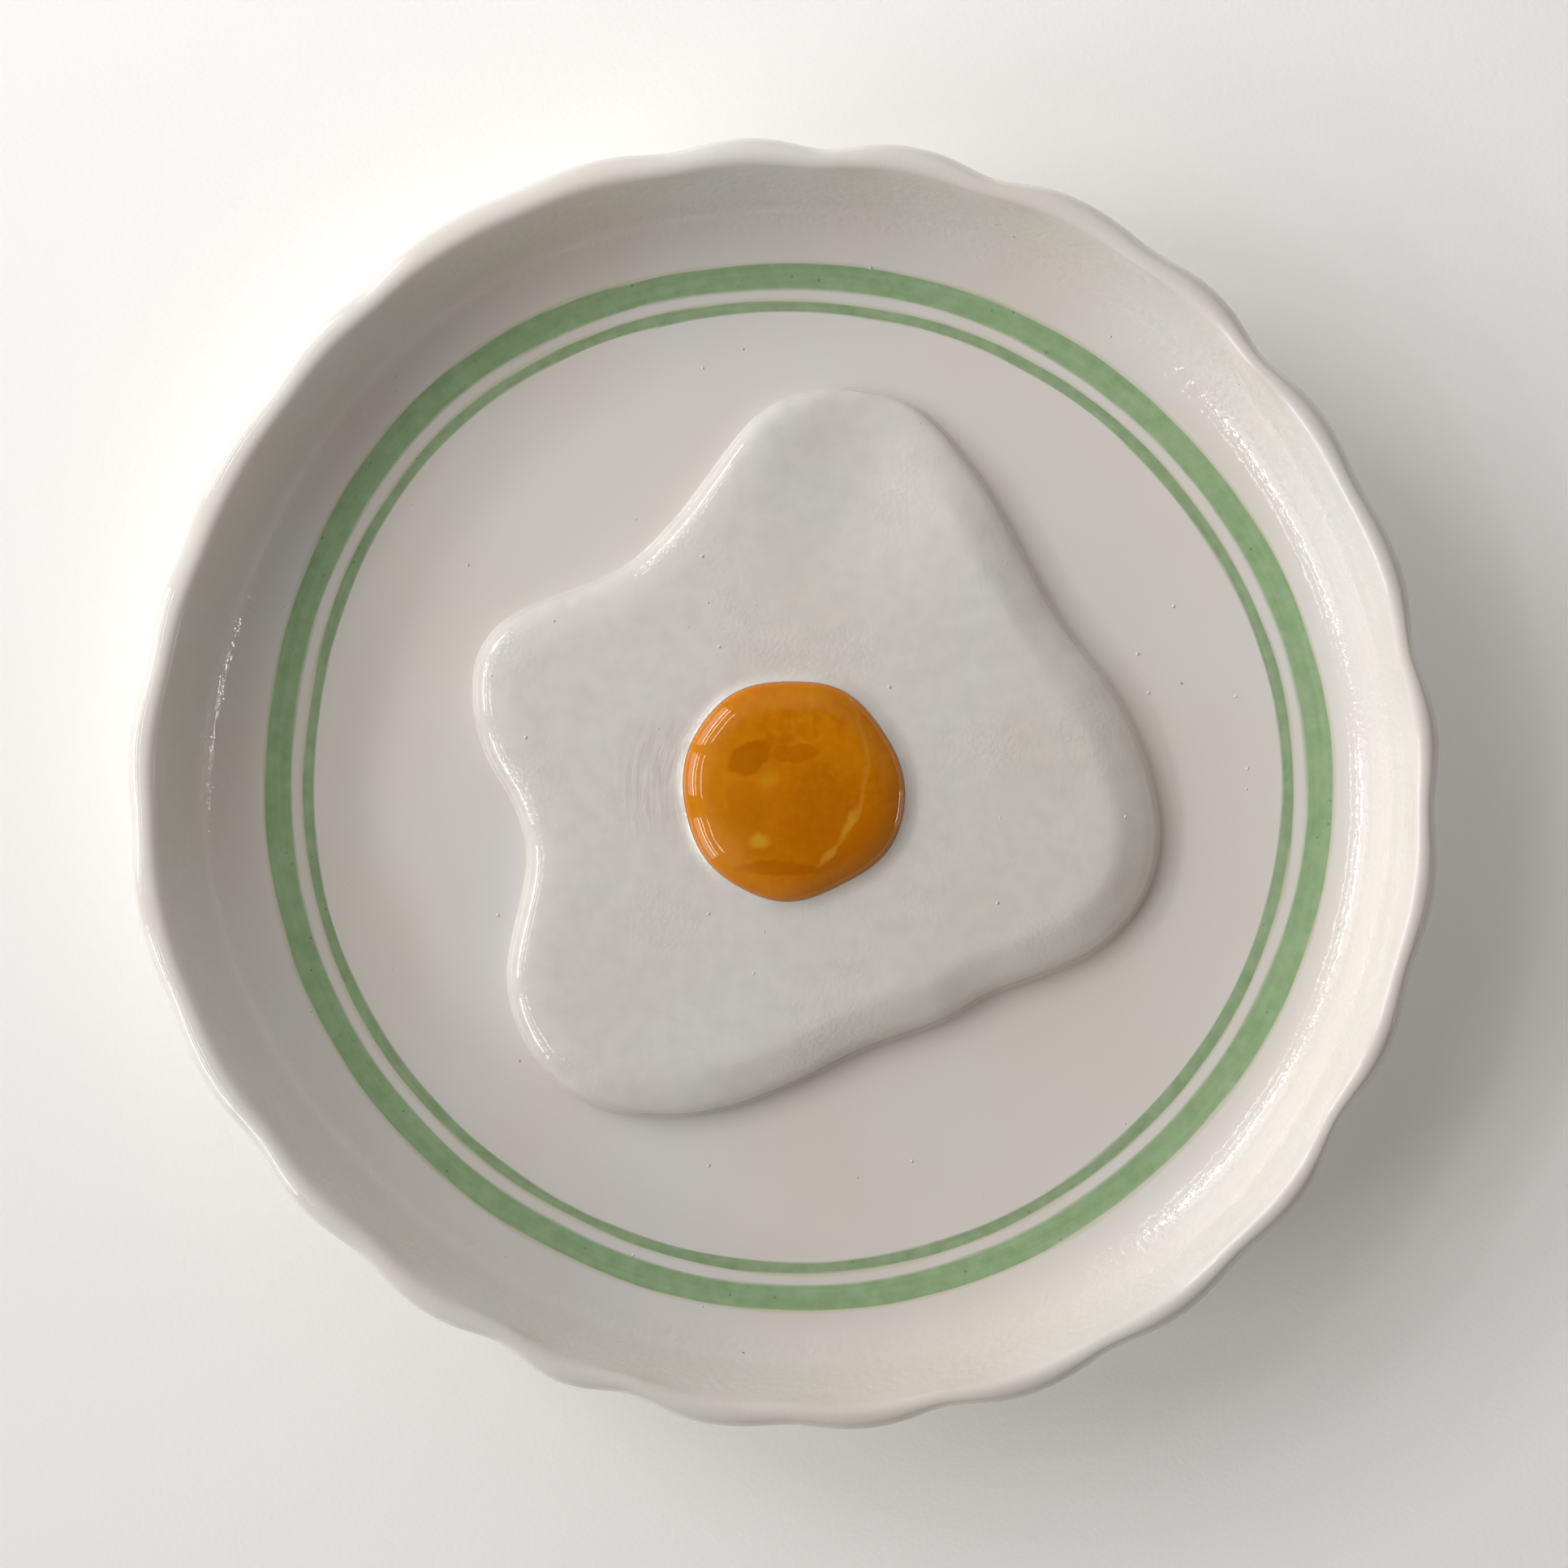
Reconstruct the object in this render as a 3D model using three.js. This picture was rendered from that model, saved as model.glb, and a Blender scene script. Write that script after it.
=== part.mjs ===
// A fried egg modelled in clay and fused to the middle of a hand-pinched earthenware plate.
// Millimetres, +Z up. The origin is the middle of the foot, on the surface the plate stands on.

import * as THREE from "three";

// ---------------------------------------------------------------- driving dimensions

// Plate section
const LIP_RADIUS = 105;
const LIP_HEIGHT = 24;
const CREST_HEIGHT = 26.7;
const CREST_INSET = 3;
const ROLLOVER_WIDTH = 1.75;
const ROLLOVER_RISE = 1;
const LIP_ROUNDNESS = 0.6;
const FLOOR_TOP = 8;
const FLOOR_RADIUS = 80;
const WALL_FOOT_RUN = 16.4;
const WALL_FOOT_RISE = 7;
const WALL_FOOT_EASE_IN = 9;
const WALL_FOOT_EASE_OUT = 6.5;
const OUTER_WALL_DROP = 9.5;
const UNDERSIDE_RUN = 24;
const UNDERSIDE_RISE = 1.4;
const FOOT_OUTER_RADIUS = 72;
const FOOT_INNER_RADIUS = 62;
const FOOT_RECESS = 1.4;
const FOOT_FLARE = 3;
const FOOT_HEIGHT = 2.6;

// The plate was thrown a little oval, with its floor slightly off the middle of its rim.
const OVAL_PART = 0.0118;
const OVAL_AXIS_DEG = -19;
const FLOOR_SHIFT = new THREE.Vector2(1.3, -0.4);
const RIM_WOBBLE = [
  { waves: 3, height: 0.64, phaseDeg: 160 },
  { waves: 4, height: 0.28, phaseDeg: -110 },
  { waves: 5, height: 0.3, phaseDeg: 106 },
  { waves: 6, height: 0.26, phaseDeg: -31 },
];
const RIM_WOBBLE_STARTS = 86;
const RIM_WOBBLE_FULL = 100;

// Twenty-five thumb pinches push the lip's outside inwards: place round the rim in degrees, push in mm.
const PINCHES = [
  [11.5, 4.0], [27, 1.6], [41, 4.2], [54.5, 2.4], [70, 4.0],
  [85.5, 4.0], [99.5, 2.6], [114, 1.1], [130, 2.0], [142, 1.6],
  [158.5, 1.3], [169.5, 2.0], [183.5, 1.8], [200, 1.3], [214.5, 2.4],
  [228.5, 2.6], [243.5, 4.2], [256.5, 4.2], [271.5, 2.3], [285.5, 3.6],
  [301, 2.9], [315, 2.4], [329.5, 4.8], [343.5, 2.4], [358, 2.7],
];
const PINCH_HALF_WIDTH_DEG = 4.2;
const PINCH_SHARPNESS = 1.8;
const PINCH_AT_CREST = 0.22;
const PINCH_AT_EDGE = 0.5;
const PINCH_REACH_INSIDE = 3;
const PINCH_FADE_INSIDE = 1.6;
const PINCH_REACH_OUTSIDE = 9;
const PINCH_FADE_OUTSIDE = 2;
const PINCH_DIP_PART = 0.22;

// The hand that pinched leant the top of the wall over to one side, but not the lip's outer edge.
const LIP_LEAN = 0.7;
const LIP_LEAN_AXIS_DEG = 165;
const LIP_LEAN_STARTS = 14;

// Egg white: its edge runs through these places, anticlockwise from the top of the tall lobe.
const WHITE_OUTLINE = [
  [11.2, 64.4], [4.5, 64.0], [-3.6, 60.8], [-18.4, 42.9], [-26.5, 35.5],
  [-46.3, 26.9], [-50.8, 21.6], [-51.7, 12.8], [-49.4, 4.4], [-44.8, -3.6],
  [-42.6, -12.1], [-46.0, -31.7], [-44.2, -40.4], [-38.8, -48.4], [-30.6, -53.5],
  [-18.4, -54.7], [-8.9, -53.1], [1.8, -49.0], [12.5, -43.6], [26.5, -38.4],
  [33.8, -34.1], [43.1, -30.7], [51.0, -26.8], [57.8, -19.4], [60.7, -9.9],
  [58.9, 2.6], [53.1, 15.2], [44.4, 27.1], [30.9, 51.1], [21.2, 61.4],
];
const WHITE_THICKNESS = 4.8;
const WHITE_EDGE_WIDTH = 8;
const WHITE_EDGE_FULLNESS = 2.1;
const WHITE_UNDERCUT = 0.4;
const WHITE_WIDEST_AT = 0.8;
const THIN_LOBE_DEG = 78;
const THIN_LOBE_HALF_WIDTH_DEG = 16;
const THIN_LOBE_LOSS = 2.9;
const THIN_LOBE_STARTS = 26;
const THIN_LOBE_FULL = 60;

// Yolk: a thick disc with a soft round edge, let into a seat in the white, with a low collar round it.
const YOLK_RADIUS = 18.1;
const YOLK_CENTRE = new THREE.Vector2(1.7, -1.1);
const YOLK_RISE = 3;
const YOLK_EDGE_WIDTH = 6.3;
const YOLK_EDGE_FULLNESS = 2.6;
const YOLK_CROWN = 0.35;
const YOLK_CROWN_INSET_PART = 0.65;
const YOLK_SEAT_DEPTH = 0.5;
const YOLK_WOBBLE = [
  { waves: 2, height: 0.15, phaseDeg: 40 },
  { waves: 3, height: 0.24, phaseDeg: 1 },
  { waves: 4, height: 0.21, phaseDeg: 95 },
  { waves: 5, height: 0.16, phaseDeg: 82 },
  { waves: 7, height: 0.14, phaseDeg: -89 },
];
const COLLAR_WIDTH = 2.2;
const COLLAR_RISE = 0.5;
const COLLAR_SHAPE = [
  { out: 0, up: 1 },
  { out: 0.15, up: 0.67 },
  { out: 0.4, up: 0.28 },
  { out: 1, up: 0 },
];

// Room kept between pieces that touch
const GAP = 0.3;

// Facets: about six to each pinch of the rim, and closer rings where a surface turns fast
const PLATE_SIDES = 160;
const WHITE_SIDES = 100;
const YOLK_SIDES = 56;
const EDGE_SHARES = [0.03, 0.12, 0.28, 0.5, 0.75, 1];
const WHITE_TOP_SHARES = [0.25, 0.5, 0.75];
const SECTION_STEPS = { wallFoot: 5, wall: 2, rollover: 4, brow: 4, outside: 5 };

// ---------------------------------------------------------------- small helpers

const { degToRad, radToDeg, smoothstep, euclideanModulo } = THREE.MathUtils;

/** Sum of whole waves round the circle, at one angle. */
function wobbleAt(waves, angle) {
  const heightOf = (w) => w.height * Math.cos(w.waves * angle + degToRad(w.phaseDeg));
  return waves.reduce((sum, w) => sum + heightOf(w), 0);
}

/** Signed difference of two angles in degrees, from -180 to 180. */
function turnBetween(a, b) {
  return euclideanModulo(a - b + 180, 360) - 180;
}

/** Height of a rounded edge, 0 to 1, at a share of its width in from the outline. */
function roundedEdge(share, fullness) {
  return Math.pow(1 - Math.pow(1 - share, fullness), 1 / fullness);
}

/** One ring of points, one for each side, from a function of the angle. */
function ringOf(sides, pointAt) {
  return Array.from({ length: sides }, (_, side) => pointAt((side / sides) * 2 * Math.PI));
}

/** Closed solid from equal rings of points, from the middle of its top to the middle of its base. */
function solidOfRings(top, rings, base) {
  const sides = rings[0].length;
  const points = [top, ...rings.flat(), base];
  const baseIndex = points.length - 1;
  const lastRing = rings.length - 1;
  const at = (ring, side) => 1 + ring * sides + (side % sides);
  const faces = [];
  for (let side = 0; side < sides; side++) {
    faces.push(0, at(0, side), at(0, side + 1));
    for (let ring = 0; ring < lastRing; ring++) {
      faces.push(at(ring, side), at(ring + 1, side), at(ring + 1, side + 1));
      faces.push(at(ring, side), at(ring + 1, side + 1), at(ring, side + 1));
    }
    faces.push(baseIndex, at(lastRing, side + 1), at(lastRing, side));
  }
  const geometry = new THREE.BufferGeometry().setFromPoints(points);
  geometry.setIndex(faces);
  geometry.computeVertexNormals();
  return geometry;
}

/** A named mesh with its own glaze. */
function glazed(name, geometry, colour, roughness) {
  const glaze = new THREE.MeshStandardMaterial({ color: colour, roughness, metalness: 0 });
  const mesh = new THREE.Mesh(geometry, glaze);
  mesh.name = name;
  return mesh;
}

// ---------------------------------------------------------------- plate

/** Curve that rounds off a corner of a section. */
function roundedCorner(start, corner, end) {
  const handleFrom = (at) => at.clone().lerp(corner, LIP_ROUNDNESS);
  return new THREE.CubicBezierCurve(start, handleFrom(start), handleFrom(end), end);
}

/** Half section of the plate before it is pinched: out along the floor, over the lip, back to the foot. */
function plateSection() {
  const wallFoot = new THREE.Vector2(FLOOR_RADIUS + WALL_FOOT_RUN, FLOOR_TOP + WALL_FOOT_RISE);
  const crest = new THREE.Vector2(LIP_RADIUS - CREST_INSET, CREST_HEIGHT);
  const wallTop = new THREE.Vector2(crest.x - ROLLOVER_WIDTH, crest.y - ROLLOVER_RISE);
  const up = wallTop.clone().sub(wallFoot).normalize();
  const wallFootCurve = new THREE.CubicBezierCurve(
    new THREE.Vector2(FLOOR_RADIUS, FLOOR_TOP),
    new THREE.Vector2(FLOOR_RADIUS + WALL_FOOT_EASE_IN, FLOOR_TOP),
    wallFoot.clone().addScaledVector(up, -WALL_FOOT_EASE_OUT),
    wallFoot,
  );
  const wall = new THREE.LineCurve(wallFoot, wallTop);
  const lipEdge = new THREE.Vector2(LIP_RADIUS, LIP_HEIGHT);
  const innerCorner = wallTop.clone().addScaledVector(up, ROLLOVER_RISE / up.y);
  const rollover = roundedCorner(wallTop, innerCorner, crest);
  const brow = roundedCorner(crest, new THREE.Vector2(LIP_RADIUS, CREST_HEIGHT), lipEdge);
  const footTop = new THREE.Vector2(FOOT_OUTER_RADIUS + FOOT_FLARE, FOOT_HEIGHT);
  const outside = new THREE.CubicBezierCurve(
    lipEdge,
    new THREE.Vector2(LIP_RADIUS, LIP_HEIGHT - OUTER_WALL_DROP),
    new THREE.Vector2(footTop.x + UNDERSIDE_RUN, footTop.y + UNDERSIDE_RISE),
    footTop,
  );
  const foot = [
    new THREE.Vector2(FOOT_OUTER_RADIUS, 0),
    new THREE.Vector2(FOOT_INNER_RADIUS, 0),
    new THREE.Vector2(FOOT_INNER_RADIUS - FOOT_RECESS, FOOT_RECESS),
  ];
  const inside = [
    ...wallFootCurve.getPoints(SECTION_STEPS.wallFoot),
    ...wall.getPoints(SECTION_STEPS.wall).slice(1),
    ...rollover.getPoints(SECTION_STEPS.rollover).slice(1),
    ...brow.getPoints(SECTION_STEPS.brow).slice(1),
  ];
  return [...inside, ...outside.getPoints(SECTION_STEPS.outside).slice(1), ...foot];
}

/** How far the thumbs pushed the lip inwards at an angle, in mm. */
function pinchAt(angle) {
  const degrees = radToDeg(angle);
  return PINCHES.reduce((sum, [place, depth]) => {
    const off = Math.abs(turnBetween(degrees, place)) / PINCH_HALF_WIDTH_DEG;
    return sum + depth * Math.exp(-Math.pow(off, PINCH_SHARPNESS));
  }, 0);
}

/** Number of the highest point of a section. */
function crestIndexOf(section) {
  return section.reduce((best, at, i) => (at.y > section[best].y ? i : best), 0);
}

/** Share of a pinch that reaches each point: most at the lip's outer edge, little inside its crest. */
function pinchShares(section) {
  const crestIndex = crestIndexOf(section);
  const fade = (below, reach, power) => Math.exp(-Math.pow(below / reach, power));
  return section.map((at, i) => {
    if (at.y <= FOOT_HEIGHT) return 0;
    if (i <= crestIndex) {
      return PINCH_AT_CREST * fade(CREST_HEIGHT - at.y, PINCH_REACH_INSIDE, PINCH_FADE_INSIDE);
    }
    if (at.y < LIP_HEIGHT) {
      return PINCH_AT_EDGE * fade(LIP_HEIGHT - at.y, PINCH_REACH_OUTSIDE, PINCH_FADE_OUTSIDE);
    }
    const over = smoothstep(at.x, LIP_RADIUS - CREST_INSET, LIP_RADIUS);
    return PINCH_AT_CREST + (PINCH_AT_EDGE - PINCH_AT_CREST) * over;
  });
}

/** Share of the lip's lean that reaches each point: all of it inside the crest, none at the lip's edge. */
function leanShares(section) {
  const crestIndex = crestIndexOf(section);
  return section.map((at, i) => {
    const share = smoothstep(at.y, LIP_LEAN_STARTS, CREST_HEIGHT);
    if (i <= crestIndex) return share;
    if (at.y < LIP_HEIGHT) return 0;
    return share * (1 - smoothstep(at.x, LIP_RADIUS - CREST_INSET, LIP_RADIUS));
  });
}

/** A point of the finished plate, from a point of its section, what reaches it there and an angle. */
function platePoint(section, { pinchShare, leanShare }, angle) {
  const oval = 1 + OVAL_PART * Math.cos(2 * (angle - degToRad(OVAL_AXIS_DEG)));
  const rimShare = smoothstep(section.x, RIM_WOBBLE_STARTS, RIM_WOBBLE_FULL);
  const pinch = pinchAt(angle) * pinchShare;
  const lean = LIP_LEAN * Math.cos(angle - degToRad(LIP_LEAN_AXIS_DEG)) * leanShare;
  const radius = section.x * oval + rimShare * wobbleAt(RIM_WOBBLE, angle) - pinch - lean;
  return new THREE.Vector3(
    radius * Math.cos(angle) + FLOOR_SHIFT.x * (1 - rimShare),
    radius * Math.sin(angle) + FLOOR_SHIFT.y * (1 - rimShare),
    section.y - PINCH_DIP_PART * pinch,
  );
}

function plate() {
  const section = plateSection();
  const pinches = pinchShares(section);
  const leans = leanShares(section);
  const rings = section.map((at, i) => {
    const reach = { pinchShare: pinches[i], leanShare: leans[i] };
    return ringOf(PLATE_SIDES, (angle) => platePoint(at, reach, angle));
  });
  const middle = (z) => new THREE.Vector3(FLOOR_SHIFT.x, FLOOR_SHIFT.y, z);
  return solidOfRings(middle(FLOOR_TOP), rings, middle(FOOT_RECESS));
}

// ---------------------------------------------------------------- egg

const WHITE_BASE = FLOOR_TOP + GAP;
const WHITE_TOP = WHITE_BASE + WHITE_THICKNESS;
const YOLK_SEAT = WHITE_TOP - YOLK_SEAT_DEPTH;
const YOLK_BASE = YOLK_SEAT + GAP;
const YOLK_TOP = WHITE_TOP + YOLK_RISE;

/** Radius of the yolk's outline at an angle about its middle. */
function yolkRadiusAt(angle) {
  return YOLK_RADIUS + wobbleAt(YOLK_WOBBLE, angle);
}

/** A point at an angle and radius about the yolk's middle. */
function aboutYolk(angle, radius, z) {
  return new THREE.Vector3(
    YOLK_CENTRE.x + radius * Math.cos(angle),
    YOLK_CENTRE.y + radius * Math.sin(angle),
    z,
  );
}

/** Stations along the white's edge: the point, the way in, and its angle about the yolk's middle. */
function whiteStations() {
  const places = WHITE_OUTLINE.map(([x, y]) => new THREE.Vector3(x, y, 0));
  const edge = new THREE.CatmullRomCurve3(places, true, "centripetal");
  return Array.from({ length: WHITE_SIDES }, (_, side) => {
    const point = edge.getPointAt(side / WHITE_SIDES);
    const tangent = edge.getTangentAt(side / WHITE_SIDES);
    const angle = Math.atan2(point.y - YOLK_CENTRE.y, point.x - YOLK_CENTRE.x);
    return { point, inward: new THREE.Vector3(-tangent.y, tangent.x, 0), angle };
  });
}

/** Thickness of the white at a point: even, but thinned towards the tip of the tall lobe. */
function whiteThicknessAt({ x, y }) {
  const dx = x - YOLK_CENTRE.x;
  const dy = y - YOLK_CENTRE.y;
  const off = turnBetween(radToDeg(Math.atan2(dy, dx)), THIN_LOBE_DEG);
  const inLobe = Math.exp(-Math.pow(off / THIN_LOBE_HALF_WIDTH_DEG, 2));
  const along = smoothstep(Math.hypot(dx, dy), THIN_LOBE_STARTS, THIN_LOBE_FULL);
  return WHITE_THICKNESS - THIN_LOBE_LOSS * inLobe * along;
}

function eggWhite() {
  const stations = whiteStations();
  const inset = ({ point, inward }, distance) => point.clone().addScaledVector(inward, distance);
  const edgeRings = EDGE_SHARES.map((share) =>
    stations.map((station) => {
      const at = inset(station, share * WHITE_EDGE_WIDTH);
      const rise = roundedEdge(share, WHITE_EDGE_FULLNESS);
      const bulge = whiteThicknessAt(at) - WHITE_WIDEST_AT;
      return at.setZ(WHITE_BASE + WHITE_WIDEST_AT + bulge * rise);
    }));
  const collarRing = (out, rise) =>
    stations.map(({ angle }) =>
      aboutYolk(angle, yolkRadiusAt(angle) + GAP + out, WHITE_TOP + rise));
  const collar = [
    collarRing(0, -YOLK_SEAT_DEPTH),
    ...COLLAR_SHAPE.map(({ out, up }) => collarRing(out * COLLAR_WIDTH, up * COLLAR_RISE)),
  ];
  const brim = edgeRings.at(-1);
  const topRings = WHITE_TOP_SHARES.map((share) =>
    collar.at(-1).map((from, side) => {
      const at = from.clone().lerp(brim[side], share);
      return at.setZ(WHITE_BASE + whiteThicknessAt(at));
    }));
  const widest = stations.map(({ point }) => point.clone().setZ(WHITE_BASE + WHITE_WIDEST_AT));
  const underside = stations.map((station) => inset(station, WHITE_UNDERCUT).setZ(WHITE_BASE));
  const rings = [...collar, ...topRings, ...edgeRings.reverse(), widest, underside];
  return solidOfRings(aboutYolk(0, 0, YOLK_SEAT), rings, aboutYolk(0, 0, WHITE_BASE));
}

function yolk() {
  const ring = (inset, z) =>
    ringOf(YOLK_SIDES, (angle) => aboutYolk(angle, yolkRadiusAt(angle) - inset, z));
  const edgeRings = [...EDGE_SHARES, 0].sort((a, b) => b - a).map((share) => {
    const rise = roundedEdge(share, YOLK_EDGE_FULLNESS);
    return ring(share * YOLK_EDGE_WIDTH, WHITE_TOP + YOLK_RISE * rise);
  });
  const crownRing = ring(
    YOLK_RADIUS * YOLK_CROWN_INSET_PART,
    YOLK_TOP + YOLK_CROWN * YOLK_CROWN_INSET_PART,
  );
  const rings = [crownRing, ...edgeRings, ring(0, YOLK_BASE)];
  return solidOfRings(aboutYolk(0, 0, YOLK_TOP + YOLK_CROWN), rings, aboutYolk(0, 0, YOLK_BASE));
}

// ---------------------------------------------------------------- the whole object

const eggPlate = new THREE.Group();
eggPlate.add(
  glazed("plate", plate(), 0xd9d4cb, 0.22),
  glazed("egg_white", eggWhite(), 0xe4e2de, 0.2),
  glazed("yolk", yolk(), 0xc9780f, 0.15),
);

export default eggPlate;
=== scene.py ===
"""A pinched earthenware plate with a clay fried egg fused to its floor, under soft window light.

The sizes held by the classes are millimetres, as a potter would measure them. Meshes, lights and
the camera's clipping are metres.
"""

import logging
import math
from dataclasses import dataclass, field
from enum import Enum
from functools import cached_property
from typing import Any, ClassVar, Sequence

import bmesh
import bpy
import numpy as np
from mathutils import Matrix, Vector, noise

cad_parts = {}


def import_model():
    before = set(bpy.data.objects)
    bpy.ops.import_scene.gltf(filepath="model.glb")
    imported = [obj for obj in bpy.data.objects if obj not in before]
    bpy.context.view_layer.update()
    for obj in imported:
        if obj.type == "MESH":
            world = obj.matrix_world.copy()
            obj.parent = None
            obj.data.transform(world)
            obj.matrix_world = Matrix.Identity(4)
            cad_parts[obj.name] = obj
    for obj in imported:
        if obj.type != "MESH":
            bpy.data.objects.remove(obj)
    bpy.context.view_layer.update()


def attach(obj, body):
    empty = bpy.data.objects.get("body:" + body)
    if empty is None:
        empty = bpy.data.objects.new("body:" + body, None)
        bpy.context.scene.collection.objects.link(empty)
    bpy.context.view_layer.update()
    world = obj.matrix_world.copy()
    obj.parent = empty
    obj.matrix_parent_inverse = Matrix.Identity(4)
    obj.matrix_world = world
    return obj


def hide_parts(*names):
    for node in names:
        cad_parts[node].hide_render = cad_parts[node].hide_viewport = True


LOG = logging.getLogger("egg_plate")
MM = 0.001
SQUARE_CM_IN_METRE = 1e4
BODY = "root"

# Sizes in mm that several classes share: top of the plate's floor, and the yolk's middle on it.
PLATE_FLOOR = 8.0
YOLK_MIDDLE = (1.7, -1.1)

# Nearly all of a noise pattern lies in this span.
NOISE_SPAN = (0.3, 0.7)
# A place that is multiplied by this keeps only its two level parts.
FLATTEN = (1, 1, 0)
# A distance in mm that is past every edge of the egg, and a size in mm that has no edge at all.
FAR_OFF = 40.0
ENDLESS = 1e6

Colour = tuple[float, float, float, float]
Node = bpy.types.Node
Piece = bpy.types.Object
Socket = bpy.types.NodeSocket
Tree = bpy.types.NodeTree


# ---------------------------------------------------------------- helpers


def srgb(code: str) -> Colour:
    """Turn an sRGB hex colour into linear light.

    Args:
        code: Colour as "#rrggbb".

    Returns:
        Linear red, green, blue and an alpha of one.
    """
    channels = [int(code[i : i + 2], 16) / 255 for i in (1, 3, 5)]
    linear = [c / 12.92 if c <= 0.04045 else ((c + 0.055) / 1.055) ** 2.4 for c in channels]
    return (*linear, 1.0)


def add_node(tree: Tree, kind: str, inputs: dict[Any, Any] | None = None, **settings: Any) -> Node:
    """Add one node with its settings and links.

    Args:
        tree: Tree that takes the node.
        kind: The node's type, as Blender names it.
        inputs: Input name or index, with a plain value, a node or an output socket to link from.
        **settings: Properties of the node itself.

    Returns:
        The new node.
    """
    node = tree.nodes.new(kind)
    for name, value in settings.items():
        setattr(node, name, value)
    for key, value in (inputs or {}).items():
        if isinstance(value, Node):
            value = next(out for out in value.outputs if out.enabled)
        if isinstance(value, bpy.types.NodeSocket):
            tree.links.new(value, node.inputs[key])
        else:
            node.inputs[key].default_value = value
    return node


def smoothstep(value: Any, low: float, high: float) -> Any:
    """Ease from 0 at low to 1 at high, for a number or an array."""
    share = np.clip((value - low) / (high - low), 0, 1)
    return share * share * (3 - 2 * share)


def turn_between(a: Any, b: float) -> Any:
    """Signed difference of two angles in degrees, from -180 to 180."""
    return (a - b + 180) % 360 - 180


def full_turn(count: int) -> np.ndarray:
    """Evenly spaced angles round a full turn, in radians."""
    return np.arange(count) / count * 2 * math.pi


def rounded_edge(share: Any, fullness: float) -> Any:
    """Height of a rounded edge, 0 to 1, at a share of its width in from the outline."""
    return (1 - (1 - share) ** fullness) ** (1 / fullness)


@dataclass(frozen=True)
class PchipCurve:
    """A smooth curve through given values that never swings past them."""

    places: tuple[float, ...]
    heights: tuple[float, ...]

    def slopes(self) -> np.ndarray:
        """Slope of the curve at each given place."""
        x, y = np.asarray(self.places, float), np.asarray(self.heights, float)
        rise = np.diff(y) / np.diff(x)
        inner = [0 if a * b <= 0 else 2 * a * b / (a + b) for a, b in zip(rise, rise[1:])]
        return np.array([rise[0], *inner, rise[-1]])

    def at(self, place: float) -> float:
        """Value of the curve at a place."""
        x, y, m = np.asarray(self.places, float), np.asarray(self.heights, float), self.slopes()
        i = int(np.clip(np.searchsorted(x, place) - 1, 0, len(x) - 2))
        gap = x[i + 1] - x[i]
        t = float(np.clip((place - x[i]) / gap, 0, 1))
        near = (2 * t**3 - 3 * t**2 + 1) * y[i] + (t**3 - 2 * t**2 + t) * gap * m[i]
        return near + (3 * t**2 - 2 * t**3) * y[i + 1] + (t**3 - t**2) * gap * m[i + 1]


def bezier(places: Sequence[Sequence[float]], steps: int) -> np.ndarray:
    """Sample a cubic Bezier curve.

    Args:
        places: Its four control points.
        steps: Number of equal steps of its parameter.

    Returns:
        The points, from the first place to the last.
    """
    t = np.linspace(0, 1, steps + 1)[:, None]
    p = np.asarray(places, float)
    near = (1 - t) ** 3 * p[0] + 3 * (1 - t) ** 2 * t * p[1]
    return near + 3 * (1 - t) * t**2 * p[2] + t**3 * p[3]


def closed_spline(places: Sequence[Sequence[float]], stations: int, steps: int = 40) -> np.ndarray:
    """Run a smooth closed curve through places and divide it evenly.

    Args:
        places: Points that the curve passes, in order.
        stations: Number of points wanted.
        steps: Number of steps that each stretch is first sampled in.

    Returns:
        Points at even distances along a centripetal Catmull-Rom curve.
    """
    p = np.asarray(places, float)
    fine = []
    for i in range(len(p)):
        a, b, c, d = (p[(i + k) % len(p)] for k in (-1, 0, 1, 2))
        gaps = [math.sqrt(math.dist(*pair)) for pair in ((a, b), (b, c), (c, d))]
        leave = ((b - a) / gaps[0] - (c - a) / (gaps[0] + gaps[1]) + (c - b) / gaps[1]) * gaps[1]
        arrive = ((c - b) / gaps[1] - (d - b) / (gaps[1] + gaps[2]) + (d - c) / gaps[2]) * gaps[1]
        handles = (b, b + leave / 3, c - arrive / 3, c)
        fine.append(bezier(handles, steps)[:-1])
    curve = np.concatenate(fine)
    loop = np.vstack([curve, curve[:1]])
    run = np.concatenate([[0], np.cumsum(np.hypot(*np.diff(loop, axis=0).T))])
    at = np.arange(stations) / stations * run[-1]
    return np.column_stack([np.interp(at, run, loop[:, k]) for k in (0, 1)])


def smooth_loop(values: np.ndarray, reach: float) -> np.ndarray:
    """Blur values round a loop.

    Args:
        values: One row for each station of the loop.
        reach: Width of the blur, in stations.

    Returns:
        The blurred rows.
    """
    turns = np.fft.fftfreq(len(values))
    keep = np.exp(-2 * (math.pi * turns * reach) ** 2)
    return np.real(np.fft.ifft(np.fft.fft(values, axis=0) * keep[:, None], axis=0))


def ripple(x: np.ndarray, y: np.ndarray, length: float, seed: float) -> np.ndarray:
    """Gentle random hills from -1 to 1.

    Args:
        x: Places in mm.
        y: Places in mm, in the same layout.
        length: Size of a hill in mm.
        seed: Offset that gives another set of hills.

    Returns:
        Heights in the layout of x.
    """
    flat = zip(np.ravel(x) / length, np.ravel(y) / length)
    return np.array([noise.noise((a, b, seed)) for a, b in flat]).reshape(np.shape(x))


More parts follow.
